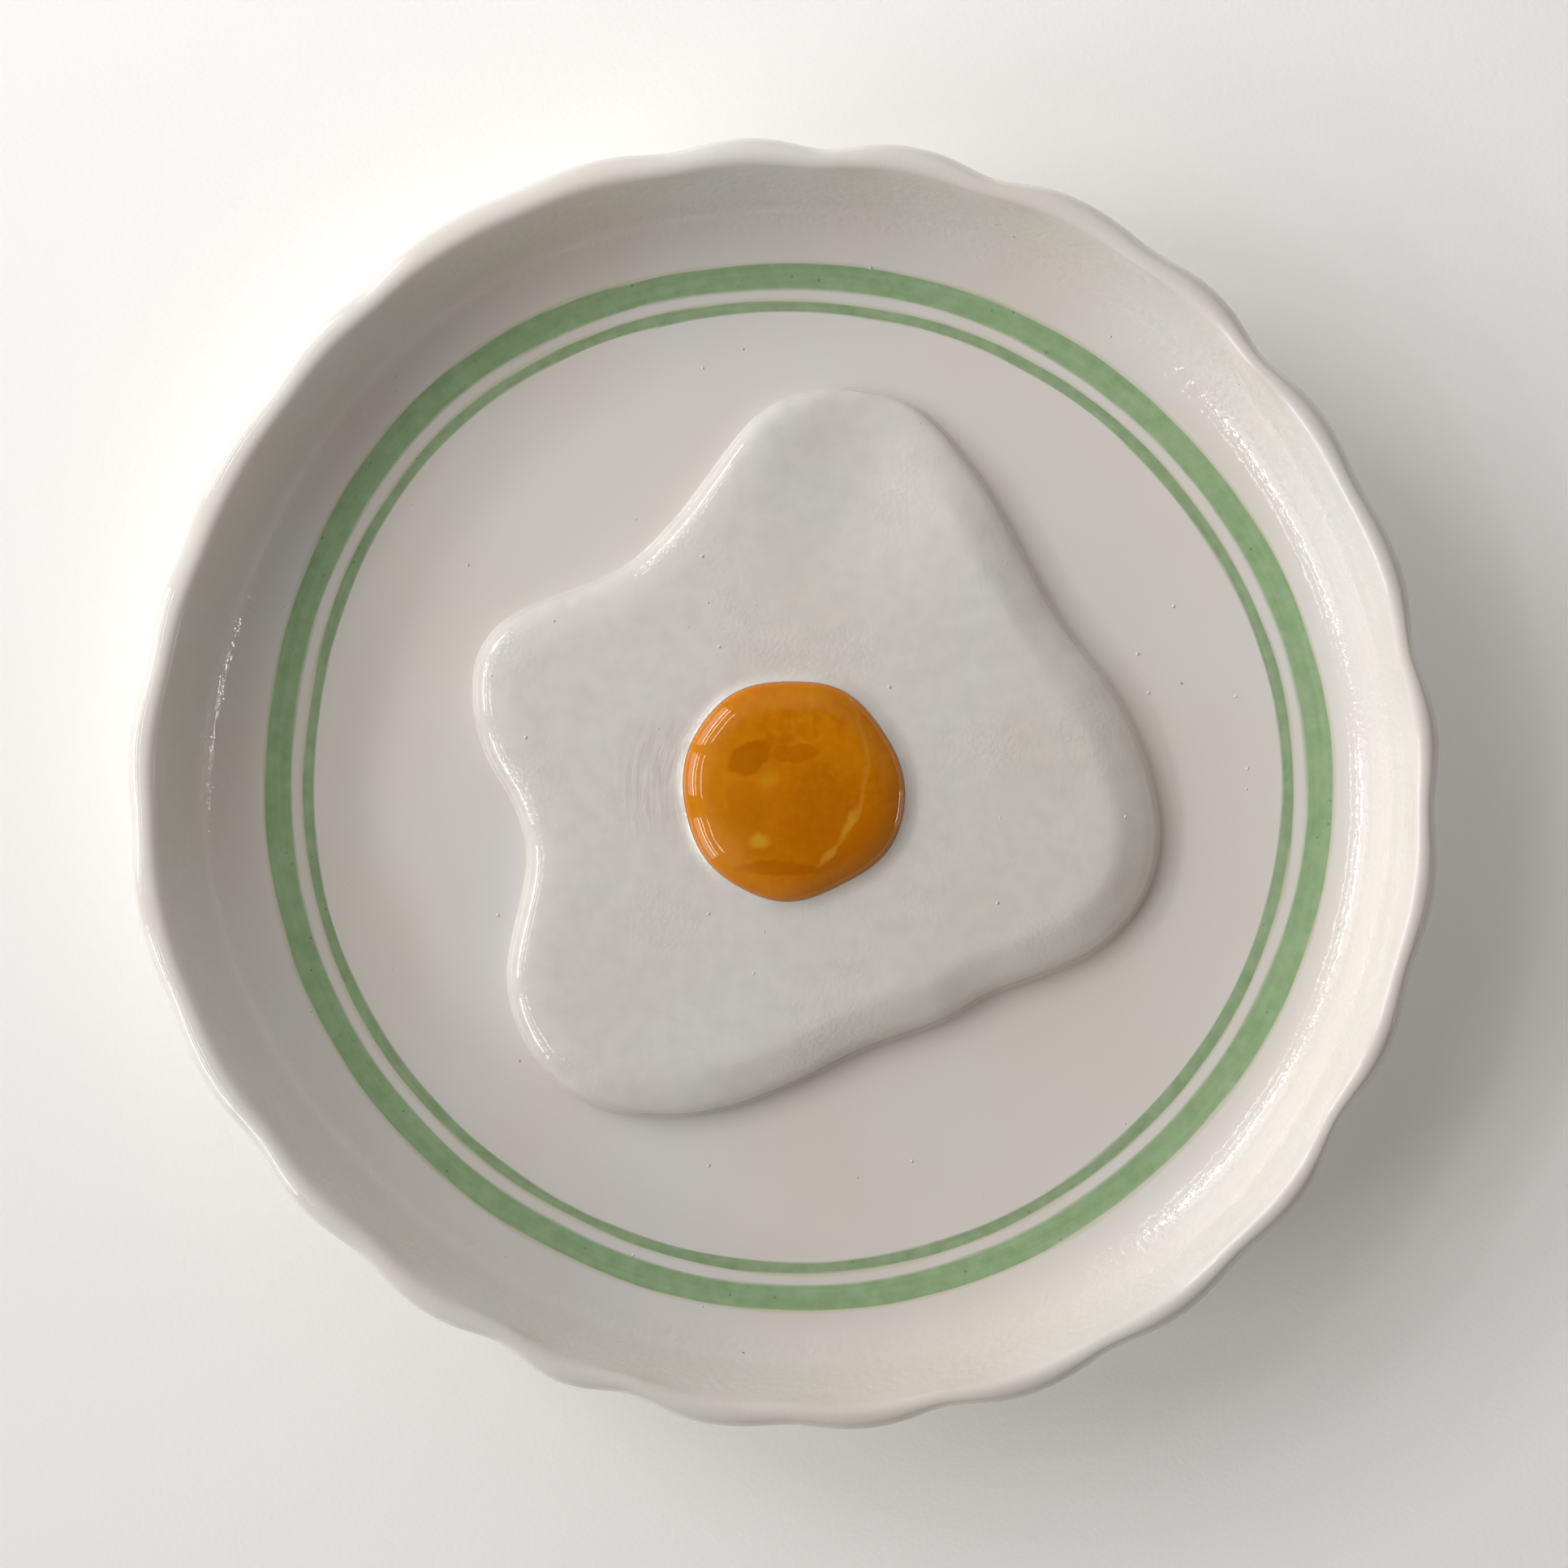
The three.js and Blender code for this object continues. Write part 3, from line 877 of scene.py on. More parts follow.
@dataclass(frozen=True)
class AmberGlaze:
    """Transparent amber-orange gloss glaze, laid on thickly by brush over the white.

    The eye sees a deep glassy orange that turns brown where it pooled and yellow where it is thin,
    and a mirror-like shine. Over it lie painted reflections, painted light and painted shade: dark
    sharp-edged patches for dark things above the plate mirrored in the yolk, a darker middle and
    lower right, a lighter left side where the window falls, a pinkish patch of mirrored window at
    the lower left and a lighter outer ring for the bright room mirrored in the sloping edge.
    """

    name: str = "glazed_earthenware_amber"
    amber: str = "#d37705"
    pooled: Mottle = Mottle("#c06903", 6.0, 0.0, 0.9, 4.0)
    brushed: Mottle = Mottle("#d69114", 1.0, 0.0, 0.25, 3.0)
    thinned: Mottle = Mottle("#d69114", 1.5, -0.2, 0.5, 3.0)
    brush_mark: tuple[float, float, float] = (1.25, 6.25, 10.0)
    brush_turn_deg: float = 17.19
    patches_and_painted_light: tuple[Blotch, ...] = (
        # Painted shade and painted reflection: a darker lower right, where the yolk faces away from the
        # window and mirrors the dark space above it.
        Blotch(7.6, -7.4, 9.0, 8.6, 30.0, "#b05a02", 0.5, 1.3),
        # Painted light: a lighter left side, where the window falls on the yolk.
        Blotch(-9.4, 1.0, 5.4, 9.0, 0.0, "#dc8a18", 0.45, 1.4),
        # Painted reflection: a slightly darker middle, the dark space above the plate mirrored in the yolk's
        # flat top.
        Blotch(-0.4, -3.6, 9.4, 9.8, 0.0, "#c06a04", 0.25, 7.0),
        # Painted reflections: dark patches with sharp edges, dark things above the plate mirrored in the
        # yolk.
        Blotch(-6.8, 5.2, 3.9, 2.4, 30.0, "#ab5802", 0.6, 7.0),
        Blotch(-3.6, 7.6, 4.4, 1.1, 12.0, "#b46003", 0.4, 3.0),
        Blotch(0.8, 6.0, 3.8, 1.4, 2.0, "#b25f03", 0.5, 9.0),
        Blotch(-2.2, -12.8, 7.4, 1.1, -1.0, "#b25c02", 0.55, 9.0),
        Blotch(-7.4, -3.6, 3.2, 5.4, 8.0, "#bd6804", 0.35, 6.0),
        # A spot of the glaze's own colour.
        Blotch(-5.1, -8.4, 1.4, 1.1, 10.0, "#d6a02c", 0.85, 1.6),
        # Pale narrow streaks along the lower right.
        Blotch(9.6, -5.6, 0.6, 2.4, -26.0, "#d9a136", 0.6, 1.5),
        Blotch(6.2, -10.7, 0.45, 1.9, -40.0, "#d9a136", 0.5, 1.5),
        # A spot of the glaze's own colour.
        Blotch(-3.4, 1.6, 1.6, 1.2, 20.0, "#d2921c", 0.6, 1.6),
        # Painted reflection: a lighter, pinkish patch at the lower left, where the window is mirrored.
        Blotch(-11.0, -9.5, 3.6, 5.2, 40.0, "#d98a2a", 0.55, 1.8),
    )
    warp: float = 1.1
    warp_per_mm: float = 0.35
    warp_detail: float = 3.0
    arc: str = "#dca63a"
    arc_cover: float = 0.35
    arc_middle: tuple[float, float, float] = (-8.0, 4.0, 0.0)
    arc_radius: float = 20.6
    arc_width: float = 0.5
    arc_soft_inside: float = 1.4
    arc_soft_outside: float = 0.5
    arc_starts: float = 5.5
    arc_fade: float = 5.0
    # Painted reflection: a lighter outer ring, where the yolk's sloping edge mirrors the bright room.
    brim: str = "#d8850f"
    brim_cover: float = 0.18
    brim_starts: float = 14.6
    brim_fade: float = 1.2
    dust: Grains = Grains("#5a3206", 0.8, spacing=6.0, radius=0.16, share=0.25, height=0.05)
    swells: tuple[Swell, ...] = (Swell(5.0, 0.03), Swell(1.4, 0.004, 2.0))
    roughness: float = 0.05
    ior: float = 1.52

    def build(self) -> bpy.types.Material:
        """Make the material."""
        constants = {"Roughness": self.roughness, "IOR": self.ior}
        material, tree, shader = start_material(self.name, constants)
        place, middle = millimetres(tree), (*YOLK_MIDDLE, 0.0)
        local = add_node(tree, "ShaderNodeVectorMath", {0: place, 1: middle}, operation="SUBTRACT")
        colour = self.pooled.lay(tree, local, srgb(self.amber))
        turn = {
            "Scale": [1 / size for size in self.brush_mark],
            "Rotation": (0.0, 0.0, math.radians(self.brush_turn_deg)),
        }
        marks = add_node(tree, "ShaderNodeMapping", {0: local, **turn})
        colour = self.brushed.lay(tree, marks, colour)
        colour = self.thinned.lay(tree, local, colour)
        warped = self.warped(tree, local)
        # Lay the glaze's own spots, and the painted reflections, painted light and painted shade.
        for blotch in self.patches_and_painted_light:
            colour = blotch.lay(tree, warped, colour)
        colour = self.lay_arc(tree, warped, colour)
        # Painted reflection: lighten the yolk's outer ring.
        flat = add_node(tree, "ShaderNodeVectorMath", {0: local, 1: FLATTEN}, operation="MULTIPLY")
        away = add_node(tree, "ShaderNodeVectorMath", {0: flat}, operation="LENGTH").outputs["Value"]
        outer = between(tree, away, self.brim_starts, FAR_OFF, self.brim_fade, 1.0)
        colour = coat(tree, colour, self.brim, outer, self.brim_cover)
        dust = self.dust.mask(tree, local)
        tree.links.new(self.dust.lay(tree, colour, dust), shader.inputs["Base Color"])
        heights = [swell.rise(tree, local) for swell in self.swells]
        raise_surface(tree, shader, [*heights, (dust, self.dust.height)])
        return material

    def warped(self, tree: Tree, local: Any) -> Node:
        """Shift places about at random, so that drawn shapes get ragged edges.

        Args:
            tree: Tree that takes the nodes.
            local: Output with the place from the yolk's middle, in mm.

        Returns:
            Node whose output is the shifted place.
        """
        settings = {"Vector": local, "Scale": self.warp_per_mm, "Detail": self.warp_detail}
        loose = add_node(tree, "ShaderNodeTexNoise", settings).outputs["Color"]
        half, reach = (0.5,) * 3, (2 * self.warp,) * 3
        shift = add_node(tree, "ShaderNodeVectorMath", {0: loose, 1: half}, operation="SUBTRACT")
        terms = {0: shift, 1: reach, 2: local}
        return add_node(tree, "ShaderNodeVectorMath", terms, operation="MULTIPLY_ADD")

    def lay_arc(self, tree: Tree, local: Any, under: Any) -> Socket:
        """Lay the pale arc that the edge of a brush stroke left on the right.

        Args:
            tree: Tree that takes the nodes.
            local: Output with the warped place from the yolk's middle, in mm.
            under: Colour below.

        Returns:
            Output with the colour.
        """
        flat = add_node(tree, "ShaderNodeVectorMath", {0: local, 1: FLATTEN}, operation="MULTIPLY")
        ends = {0: flat, 1: self.arc_middle}
        away = add_node(tree, "ShaderNodeVectorMath", ends, operation="DISTANCE").outputs["Value"]
        low, high = self.arc_radius - self.arc_width / 2, self.arc_radius + self.arc_width / 2
        on_arc = between(tree, away, low, high, self.arc_soft_inside, self.arc_soft_outside)
        across = add_node(tree, "ShaderNodeSeparateXYZ", {0: flat}).outputs["X"]
        on_right = between(tree, across, self.arc_starts, FAR_OFF, self.arc_fade, 1.0)
        mask = add_node(tree, "ShaderNodeMath", {0: on_arc, 1: on_right}, operation="MULTIPLY")
        return coat(tree, under, self.arc, mask, self.arc_cover)


@dataclass(frozen=True)
class BareClay:
    """Unglazed buff earthenware, wiped clean of glaze so that the plate can stand in the kiln.

    The eye sees a dry, warm tan with fine sandy grog.
    """

    name: str = "bare_earthenware"
    clay: str = "#c9ab8a"
    grog: Mottle = Mottle("#a9825f", 0.6, 0.0, 0.5, 3.0)
    grit: Swell = Swell(0.6, 0.05, 3.0)
    roughness: float = 0.85

    def build(self) -> bpy.types.Material:
        """Make the material."""
        material, tree, shader = start_material(self.name, {"Roughness": self.roughness})
        place = millimetres(tree)
        tree.links.new(self.grog.lay(tree, place, srgb(self.clay)), shader.inputs["Base Color"])
        raise_surface(tree, shader, [self.grit.rise(tree, place)])
        return material


@dataclass(frozen=True)
class StudioPaper:
    """Matt white background paper: pale and even, with hardly any tooth."""

    name: str = "studio_paper"
    paper: str = "#f4f3f1"
    tooth: Swell = Swell(0.8, 0.02, 2.0)
    roughness: float = 0.9
    lift: float = 0.12

    def build(self) -> bpy.types.Material:
        """Make the material."""
        constants = {
            "Base Color": srgb(self.paper),
            "Roughness": self.roughness,
            "Emission Color": srgb("#ffffff"),
            "Emission Strength": self.lift,
        }
        material, tree, shader = start_material(self.name, constants)
        raise_surface(tree, shader, [self.tooth.rise(tree, millimetres(tree))])
        return material


# ---------------------------------------------------------------- plate


@dataclass(frozen=True)
class Wave:
    """A whole number of waves round the plate."""

    count: int
    height: float
    phase_deg: float

    def at(self, angle: Any) -> Any:
        """Height of the wave at an angle in radians."""
        return self.height * np.cos(self.count * angle + math.radians(self.phase_deg))


@dataclass
class Plate:
    """The pinched plate, from the same sizes as its solid but with a fine smooth surface."""

    SOCKETS: ClassVar[dict[str, str]] = {
        "Path": "Geometry",
        "Section": "Object",
        "Oval Part": "Float",
        "Oval Axis": "Float",
        "Floor Shift": "Vector",
        "Lean": "Float",
        "Lean Axis": "Float",
        "Pinch Dip": "Float",
        "Hand Wave": "Float",
        "Hand Wave Height": "Float",
        "Hand Wave Level": "Float",
        "Glaze": "Material",
        "Clay": "Material",
    }

    lip_radius: float = 105.0
    lip_height: float = 24.0
    crest_height: float = 26.7
    crest_inset: float = 3.0
    rollover_width: float = 1.75
    rollover_rise: float = 1.0
    roundness: float = 0.6
    floor_top: float = PLATE_FLOOR
    floor_radius: float = 80.0
    wall_foot_run: float = 16.4
    wall_foot_rise: float = 7.0
    wall_foot_ease_in: float = 9.0
    wall_foot_ease_out: float = 6.5
    outer_wall_drop: float = 9.5
    underside_run: float = 24.0
    underside_rise: float = 1.4
    foot_outer: float = 72.0
    foot_inner: float = 62.0
    foot_recess: float = 1.4
    foot_flare: float = 3.0
    foot_height: float = 2.6
    foot_edge: float = 0.7
    foot_chamfer: float = 0.25
    toe_up: float = 1.05
    toe_in: float = 1.12
    toe_ease: float = 0.28
    hub: float = 0.5
    coarse_floor: float = 50.0
    oval_part: float = 0.0118
    oval_axis_deg: float = -19.0
    floor_shift: tuple[float, float] = (1.3, -0.4)
    rim_waves: tuple[Wave, ...] = (
        Wave(3, 0.64, 160),
        Wave(4, 0.28, -110),
        Wave(5, 0.3, 106),
        Wave(6, 0.26, -31),
    )
    rim_starts: float = 86.0
    rim_full: float = 100.0
    band_waves: tuple[Wave, ...] = (
        Wave(1, 1.11, -174),
        Wave(2, 0.21, 10),
        Wave(3, 0.48, -25),
        Wave(4, 0.14, -136),
        Wave(5, 0.31, 41),
        Wave(6, 0.1, -69),
    )
    pinches: tuple[tuple[float, float], ...] = (
        (11.5, 4.0), (27, 1.6), (41, 4.2), (54.5, 2.4), (70, 4.0),
        (85.5, 4.0), (99.5, 2.6), (114, 1.1), (130, 2.0), (142, 1.6),
        (158.5, 1.3), (169.5, 2.0), (183.5, 1.8), (200, 1.3), (214.5, 2.4),
        (228.5, 2.6), (243.5, 4.2), (256.5, 4.2), (271.5, 2.3), (285.5, 3.6),
        (301, 2.9), (315, 2.4), (329.5, 4.8), (343.5, 2.4), (358, 2.7),
    )  # fmt: skip
    pinch_half_width_deg: float = 4.2
    pinch_sharpness: float = 1.8
    pinch_at_crest: float = 0.22
    pinch_at_edge: float = 0.5
    pinch_reach_inside: float = 3.0
    pinch_reach_outside: float = 9.0
    pinch_fade_inside: float = 1.6
    pinch_fade_outside: float = 2.0
    pinch_dip: float = 0.22
    lean: float = 0.7
    lean_axis_deg: float = 165.0
    lean_starts: float = 14.0
    hand_wave: float = 22.0
    hand_wave_height: float = 0.22
    hand_wave_level: float = 0.67
    base_step: float = 2.0
    seam_gap: float = 0.001
    bare_above: float = 0.5
    sides: int = 800
    coarse_rows: int = 7
    floor_rows: int = 14
    wall_rows: int = 9
    round_rows: int = 10
    outside_rows: int = 22
    toe_rows: int = 5
    base_rows: int = 8
    glaze: CreamGlaze = field(default_factory=CreamGlaze)
    clay: BareClay = field(default_factory=BareClay)

    def section(self) -> tuple[np.ndarray, np.ndarray]:
        """Half section from the floor's middle over the lip and back under to the axis.

        Returns:
            Points as radius and height in mm, and whether each is bare of glaze.
        """
        points = np.vstack([self.upper_side(), self.outside()])
        toe, base = self.toe(), self.base()
        glazed = np.zeros(len(points))
        bare = [glazed, np.ones(len(toe)), np.zeros(len(base))]
        return np.vstack([points, toe, base]), np.concatenate(bare)

    @property
    def crest(self) -> np.ndarray:
        """Highest point of the section."""
        return np.array([self.lip_radius - self.crest_inset, self.crest_height])

    @property
    def lip_out(self) -> np.ndarray:
        """Point of the section that lies furthest out."""
        return np.array([self.lip_radius, self.lip_height])

    def upper_side(self) -> np.ndarray:
        """Section of the floor, the wall and the top of the lip, from the axis to the lip's edge."""
        floor_start = np.array([self.floor_radius, self.floor_top])
        wall_foot = floor_start + [self.wall_foot_run, self.wall_foot_rise]
        wall_top = self.crest - [self.rollover_width, self.rollover_rise]
        up = (wall_top - wall_foot) / math.dist(wall_top, wall_foot)
        eased = (floor_start + [self.wall_foot_ease_in, 0], wall_foot - up * self.wall_foot_ease_out)
        corner = wall_top + up * (self.rollover_rise / up[1])
        brow = np.array([self.lip_radius, self.crest_height])
        coarse_end = [self.coarse_floor, self.floor_top]
        parts = (
            np.linspace([self.hub, self.floor_top], coarse_end, self.coarse_rows)[:-1],
            np.linspace(coarse_end, floor_start, self.floor_rows)[:-1],
            bezier((floor_start, *eased, wall_foot), self.floor_rows),
            np.linspace(wall_foot, wall_top, self.wall_rows)[1:],
            self.round_off(wall_top, corner, self.crest),
            self.round_off(self.crest, brow, self.lip_out),
        )
        return np.vstack(parts)

    def outside(self) -> np.ndarray:
        """Section of the outside, from below the lip's edge to the top of the foot ring."""
        drop = np.array([0, self.outer_wall_drop])
        reach = np.array([self.underside_run, self.underside_rise])
        foot_top = np.array([self.foot_outer + self.foot_flare, self.foot_height])
        handles = (self.lip_out - drop, foot_top + reach)
        return bezier((self.lip_out, *handles, foot_top), self.outside_rows)[1:]

    def toe(self) -> np.ndarray:
        """Section of the foot ring's bare underside, from its rounded outer edge inwards."""
        slope = np.array([self.foot_flare, self.foot_height])
        slope /= np.hypot(*slope)
        corner = np.array([self.foot_outer, 0.0])
        start, end = corner + slope * self.toe_up, corner - [self.toe_in, 0]
        handles = (start - slope * self.foot_edge, corner - [self.toe_ease, 0])
        stands = [[self.foot_inner + self.foot_edge, 0], [self.foot_inner, self.foot_chamfer]]
        rises = [[self.foot_inner - self.foot_recess, self.foot_recess]]
        return np.vstack([bezier((start, *handles, end), self.toe_rows), stands, rises])

    def base(self) -> np.ndarray:
        """Section of the recessed base, from inside the foot ring to the axis."""
        rim = self.foot_inner - self.foot_recess - self.base_step
        return np.linspace([rim, self.foot_recess], [self.hub, self.foot_recess], self.base_rows)

    def round_off(self, start: np.ndarray, corner: np.ndarray, end: np.ndarray) -> np.ndarray:
        """Round off a corner of the section, without its first point."""
        handles = (start + (corner - start) * self.roundness, end + (corner - end) * self.roundness)
        return bezier((start, *handles, end), self.round_rows)[1:]

    def pinch_shares(self, section: np.ndarray) -> np.ndarray:
        """Share of a pinch that reaches each point: most of it at the lip's outer edge."""
        top = int(section[:, 1].argmax())
        below_crest = section[top, 1] - section[:, 1]
        rising = (below_crest / self.pinch_reach_inside) ** self.pinch_fade_inside
        inside = self.pinch_at_crest * np.exp(-rising)
        over = smoothstep(section[:, 0], section[top, 0], self.lip_radius)
        lip = self.pinch_at_crest + (self.pinch_at_edge - self.pinch_at_crest) * over
        below_edge = np.clip(self.lip_height - section[:, 1], 0, None)
        fading = (below_edge / self.pinch_reach_outside) ** self.pinch_fade_outside
        under = self.pinch_at_edge * np.exp(-fading)
        outside = np.where(section[:, 1] >= self.lip_height, lip, under)
        share = np.where(np.arange(len(section)) <= top, inside, outside)
        return np.where(section[:, 1] > self.foot_height, share, 0)

    def lean_shares(self, section: np.ndarray) -> np.ndarray:
        """Share of the lip's lean that reaches each point: all of it inside, none at its outer edge."""
        crest = int(section[:, 1].argmax())
        share = smoothstep(section[:, 1], self.lean_starts, section[crest, 1])
        beyond = smoothstep(section[:, 0], section[crest, 0], self.lip_radius)
        over = np.where(section[:, 1] >= self.lip_height, share * (1 - beyond), 0)
        return np.where(np.arange(len(section)) > crest, over, share)

    def paint_radii(self, section: np.ndarray) -> np.ndarray:
        """Radius in mm, counted on past the lip's edge, so that the outside bears no band."""
        edge = int(section[:, 0].argmax())
        outside = 2 * self.lip_radius - section[:, 0]
        return np.where(np.arange(len(section)) <= edge, section[:, 0], outside)

    def pinch_depths(self, angles: np.ndarray) -> np.ndarray:
        """How far the thumbs pushed the lip in, at each angle, in mm."""
        depth = np.zeros_like(angles)
        for place, push in self.pinches:
            off = np.abs(turn_between(np.degrees(angles), place)) / self.pinch_half_width_deg
            depth += push * np.exp(-(off**self.pinch_sharpness))
        return depth

    def tree(self) -> Tree:
        """Geometry Nodes that sweep the section round the path and pinch it.

        Returns:
            The node group, with named inputs.
        """
        tree = bpy.data.node_groups.new("throw_and_pinch", "GeometryNodeTree")
        open_group(tree, self.SOCKETS, "Plate")
        given = add_node(tree, "NodeGroupInput").outputs
        closed = self.sweep(tree, given)
        waved = self.wave_by_hand(tree, given, closed)
        smooth = add_node(tree, "GeometryNodeSetShadeSmooth", {"Geometry": waved})
        real = add_node(tree, "GeometryNodeRealizeInstances", {"Geometry": smooth})
        glazed = add_node(tree, "GeometryNodeSetMaterial", {"Geometry": real, "Material": given["Glaze"]})
        bare = self.note(tree, "bare")
        limit = {0: bare, 1: self.bare_above}
        is_bare = add_node(tree, "ShaderNodeMath", limit, operation="GREATER_THAN")
        wiped = {"Geometry": glazed, "Selection": is_bare, "Material": given["Clay"]}
        finished = add_node(tree, "GeometryNodeSetMaterial", wiped)
        add_node(tree, "NodeGroupOutput", {"Plate": finished})
        return tree

    @staticmethod
    def note(tree: Tree, name: str) -> Socket:
        """Read a number that the path or the section noted at its points."""
        reader = add_node(tree, "GeometryNodeInputNamedAttribute", {"Name": name}, data_type="FLOAT")
        return reader.outputs["Attribute"]

    def sweep(self, tree: Tree, given: Any) -> Node:
        """Sweep the section round the path and put each point where the potter's hands left it.

        Args:
            tree: Tree that takes the nodes.
            given: The group's inputs.

        Returns:
            Node whose output is the swept surface, joined along its seam.
        """
        drawn = add_node(tree, "GeometryNodeObjectInfo", {"Object": given["Section"]})
        path = add_node(tree, "GeometryNodeMeshToCurve", {"Mesh": given["Path"]})
        section = add_node(tree, "GeometryNodeMeshToCurve", {"Mesh": drawn.outputs["Geometry"]})
        curves = {"Curve": path, "Profile Curve": section}
        swept = add_node(tree, "GeometryNodeCurveToMesh", curves)
        turn, rim_share = self.note(tree, "turn"), self.note(tree, "rim_share")
        shares = {0: self.note(tree, "pinch"), 1: self.note(tree, "pinch_share")}
        pushed = add_node(tree, "ShaderNodeMath", shares, operation="MULTIPLY")
        radius = self.radius(tree, given, turn, rim_share, pushed)
        across = add_node(tree, "ShaderNodeMath", {0: turn}, operation="COSINE")
        along = add_node(tree, "ShaderNodeMath", {0: turn}, operation="SINE")
        unit = add_node(tree, "ShaderNodeCombineXYZ", {"X": across, "Y": along})
        flat = add_node(tree, "ShaderNodeVectorMath", {0: unit, "Scale": radius}, operation="SCALE")
        steady = add_node(tree, "ShaderNodeMath", {0: 1.0, 1: rim_share}, operation="SUBTRACT")
        off_middle = {0: given["Floor Shift"], "Scale": steady}
        shift = add_node(tree, "ShaderNodeVectorMath", off_middle, operation="SCALE")
        moved = add_node(tree, "ShaderNodeVectorMath", {0: flat, 1: shift}, operation="ADD")
        dip = add_node(tree, "ShaderNodeMath", {0: pushed, 1: given["Pinch Dip"]}, operation="MULTIPLY")
        height = add_node(tree, "ShaderNodeMath", {0: self.note(tree, "up"), 1: dip}, operation="SUBTRACT")
        lifted = add_node(tree, "ShaderNodeCombineXYZ", {"Z": height})
        place = add_node(tree, "ShaderNodeVectorMath", {0: moved, 1: lifted}, operation="ADD")
        shaped = add_node(tree, "GeometryNodeSetPosition", {"Geometry": swept, "Position": place})
        seam = {"Geometry": shaped, "Distance": self.seam_gap * MM}
        return add_node(tree, "GeometryNodeMergeByDistance", seam)

    def radius(self, tree: Tree, given: Any, turn: Any, rim_share: Any, pushed: Any) -> Node:
        """Distance from the axis: an oval with a wavy, leaning and pinched rim.

        Args:
            tree: Tree that takes the nodes.
            given: The group's inputs.
            turn: Output with the turn round the plate.
            rim_share: Output that is one on the rim and none on the floor.
            pushed: Output with how far a thumb pushed the point in.

        Returns:
            Node whose output is the distance in m.
        """
        off_axis = add_node(tree, "ShaderNodeMath", {0: turn, 1: given["Oval Axis"]}, operation="SUBTRACT")
        twice = add_node(tree, "ShaderNodeMath", {0: off_axis, 1: 2.0}, operation="MULTIPLY")
        cosine = add_node(tree, "ShaderNodeMath", {0: twice}, operation="COSINE")
        stretch = {0: cosine, 1: given["Oval Part"], 2: 1.0}
        oval = add_node(tree, "ShaderNodeMath", stretch, operation="MULTIPLY_ADD")
        thrown = add_node(tree, "ShaderNodeMath", {0: self.note(tree, "out"), 1: oval}, operation="MULTIPLY")
        wobble = {0: self.note(tree, "wobble"), 1: rim_share, 2: thrown}
        wavy = add_node(tree, "ShaderNodeMath", wobble, operation="MULTIPLY_ADD")
        off_lean = add_node(tree, "ShaderNodeMath", {0: turn, 1: given["Lean Axis"]}, operation="SUBTRACT")
        side = add_node(tree, "ShaderNodeMath", {0: off_lean}, operation="COSINE")
        lean = add_node(tree, "ShaderNodeMath", {0: side, 1: given["Lean"]}, operation="MULTIPLY")
        inwards = {0: lean, 1: self.note(tree, "lean_share"), 2: pushed}
        leant = add_node(tree, "ShaderNodeMath", inwards, operation="MULTIPLY_ADD")
        return add_node(tree, "ShaderNodeMath", {0: wavy, 1: leant}, operation="SUBTRACT")

    def wave_by_hand(self, tree: Tree, given: Any, surface: Any) -> Node:
        """Press soft hollows into a surface, fading out to none at the foot.

        Args:
            tree: Tree that takes the nodes.
            given: The group's inputs.
            surface: Output with the surface.

        Returns:
            Node whose output is the waved surface.
        """
        at = add_node(tree, "GeometryNodeInputPosition")
        pattern = {"Vector": at, "Scale": given["Hand Wave"], "Detail": 1.0}
        hills = add_node(tree, "ShaderNodeTexNoise", pattern).outputs["Fac"]
        pressed = {0: hills, 1: given["Hand Wave Level"]}
        level = add_node(tree, "ShaderNodeMath", pressed, operation="SUBTRACT")
        scaled = {0: level, 1: given["Hand Wave Height"]}
        swell = add_node(tree, "ShaderNodeMath", scaled, operation="MULTIPLY")
        span = {"From Min": self.foot_height * MM, "From Max": self.floor_top * MM}
        kept = add_node(
            tree,
            "ShaderNodeMapRange",
            {"Value": self.note(tree, "up"), **span},
            interpolation_type="SMOOTHSTEP",
        )
        masked = add_node(tree, "ShaderNodeMath", {0: swell, 1: kept}, operation="MULTIPLY")
        normal = add_node(tree, "GeometryNodeInputNormal")
        push = add_node(tree, "ShaderNodeVectorMath", {0: normal, "Scale": masked}, operation="SCALE")
        return add_node(tree, "GeometryNodeSetPosition", {"Geometry": surface, "Offset": push})

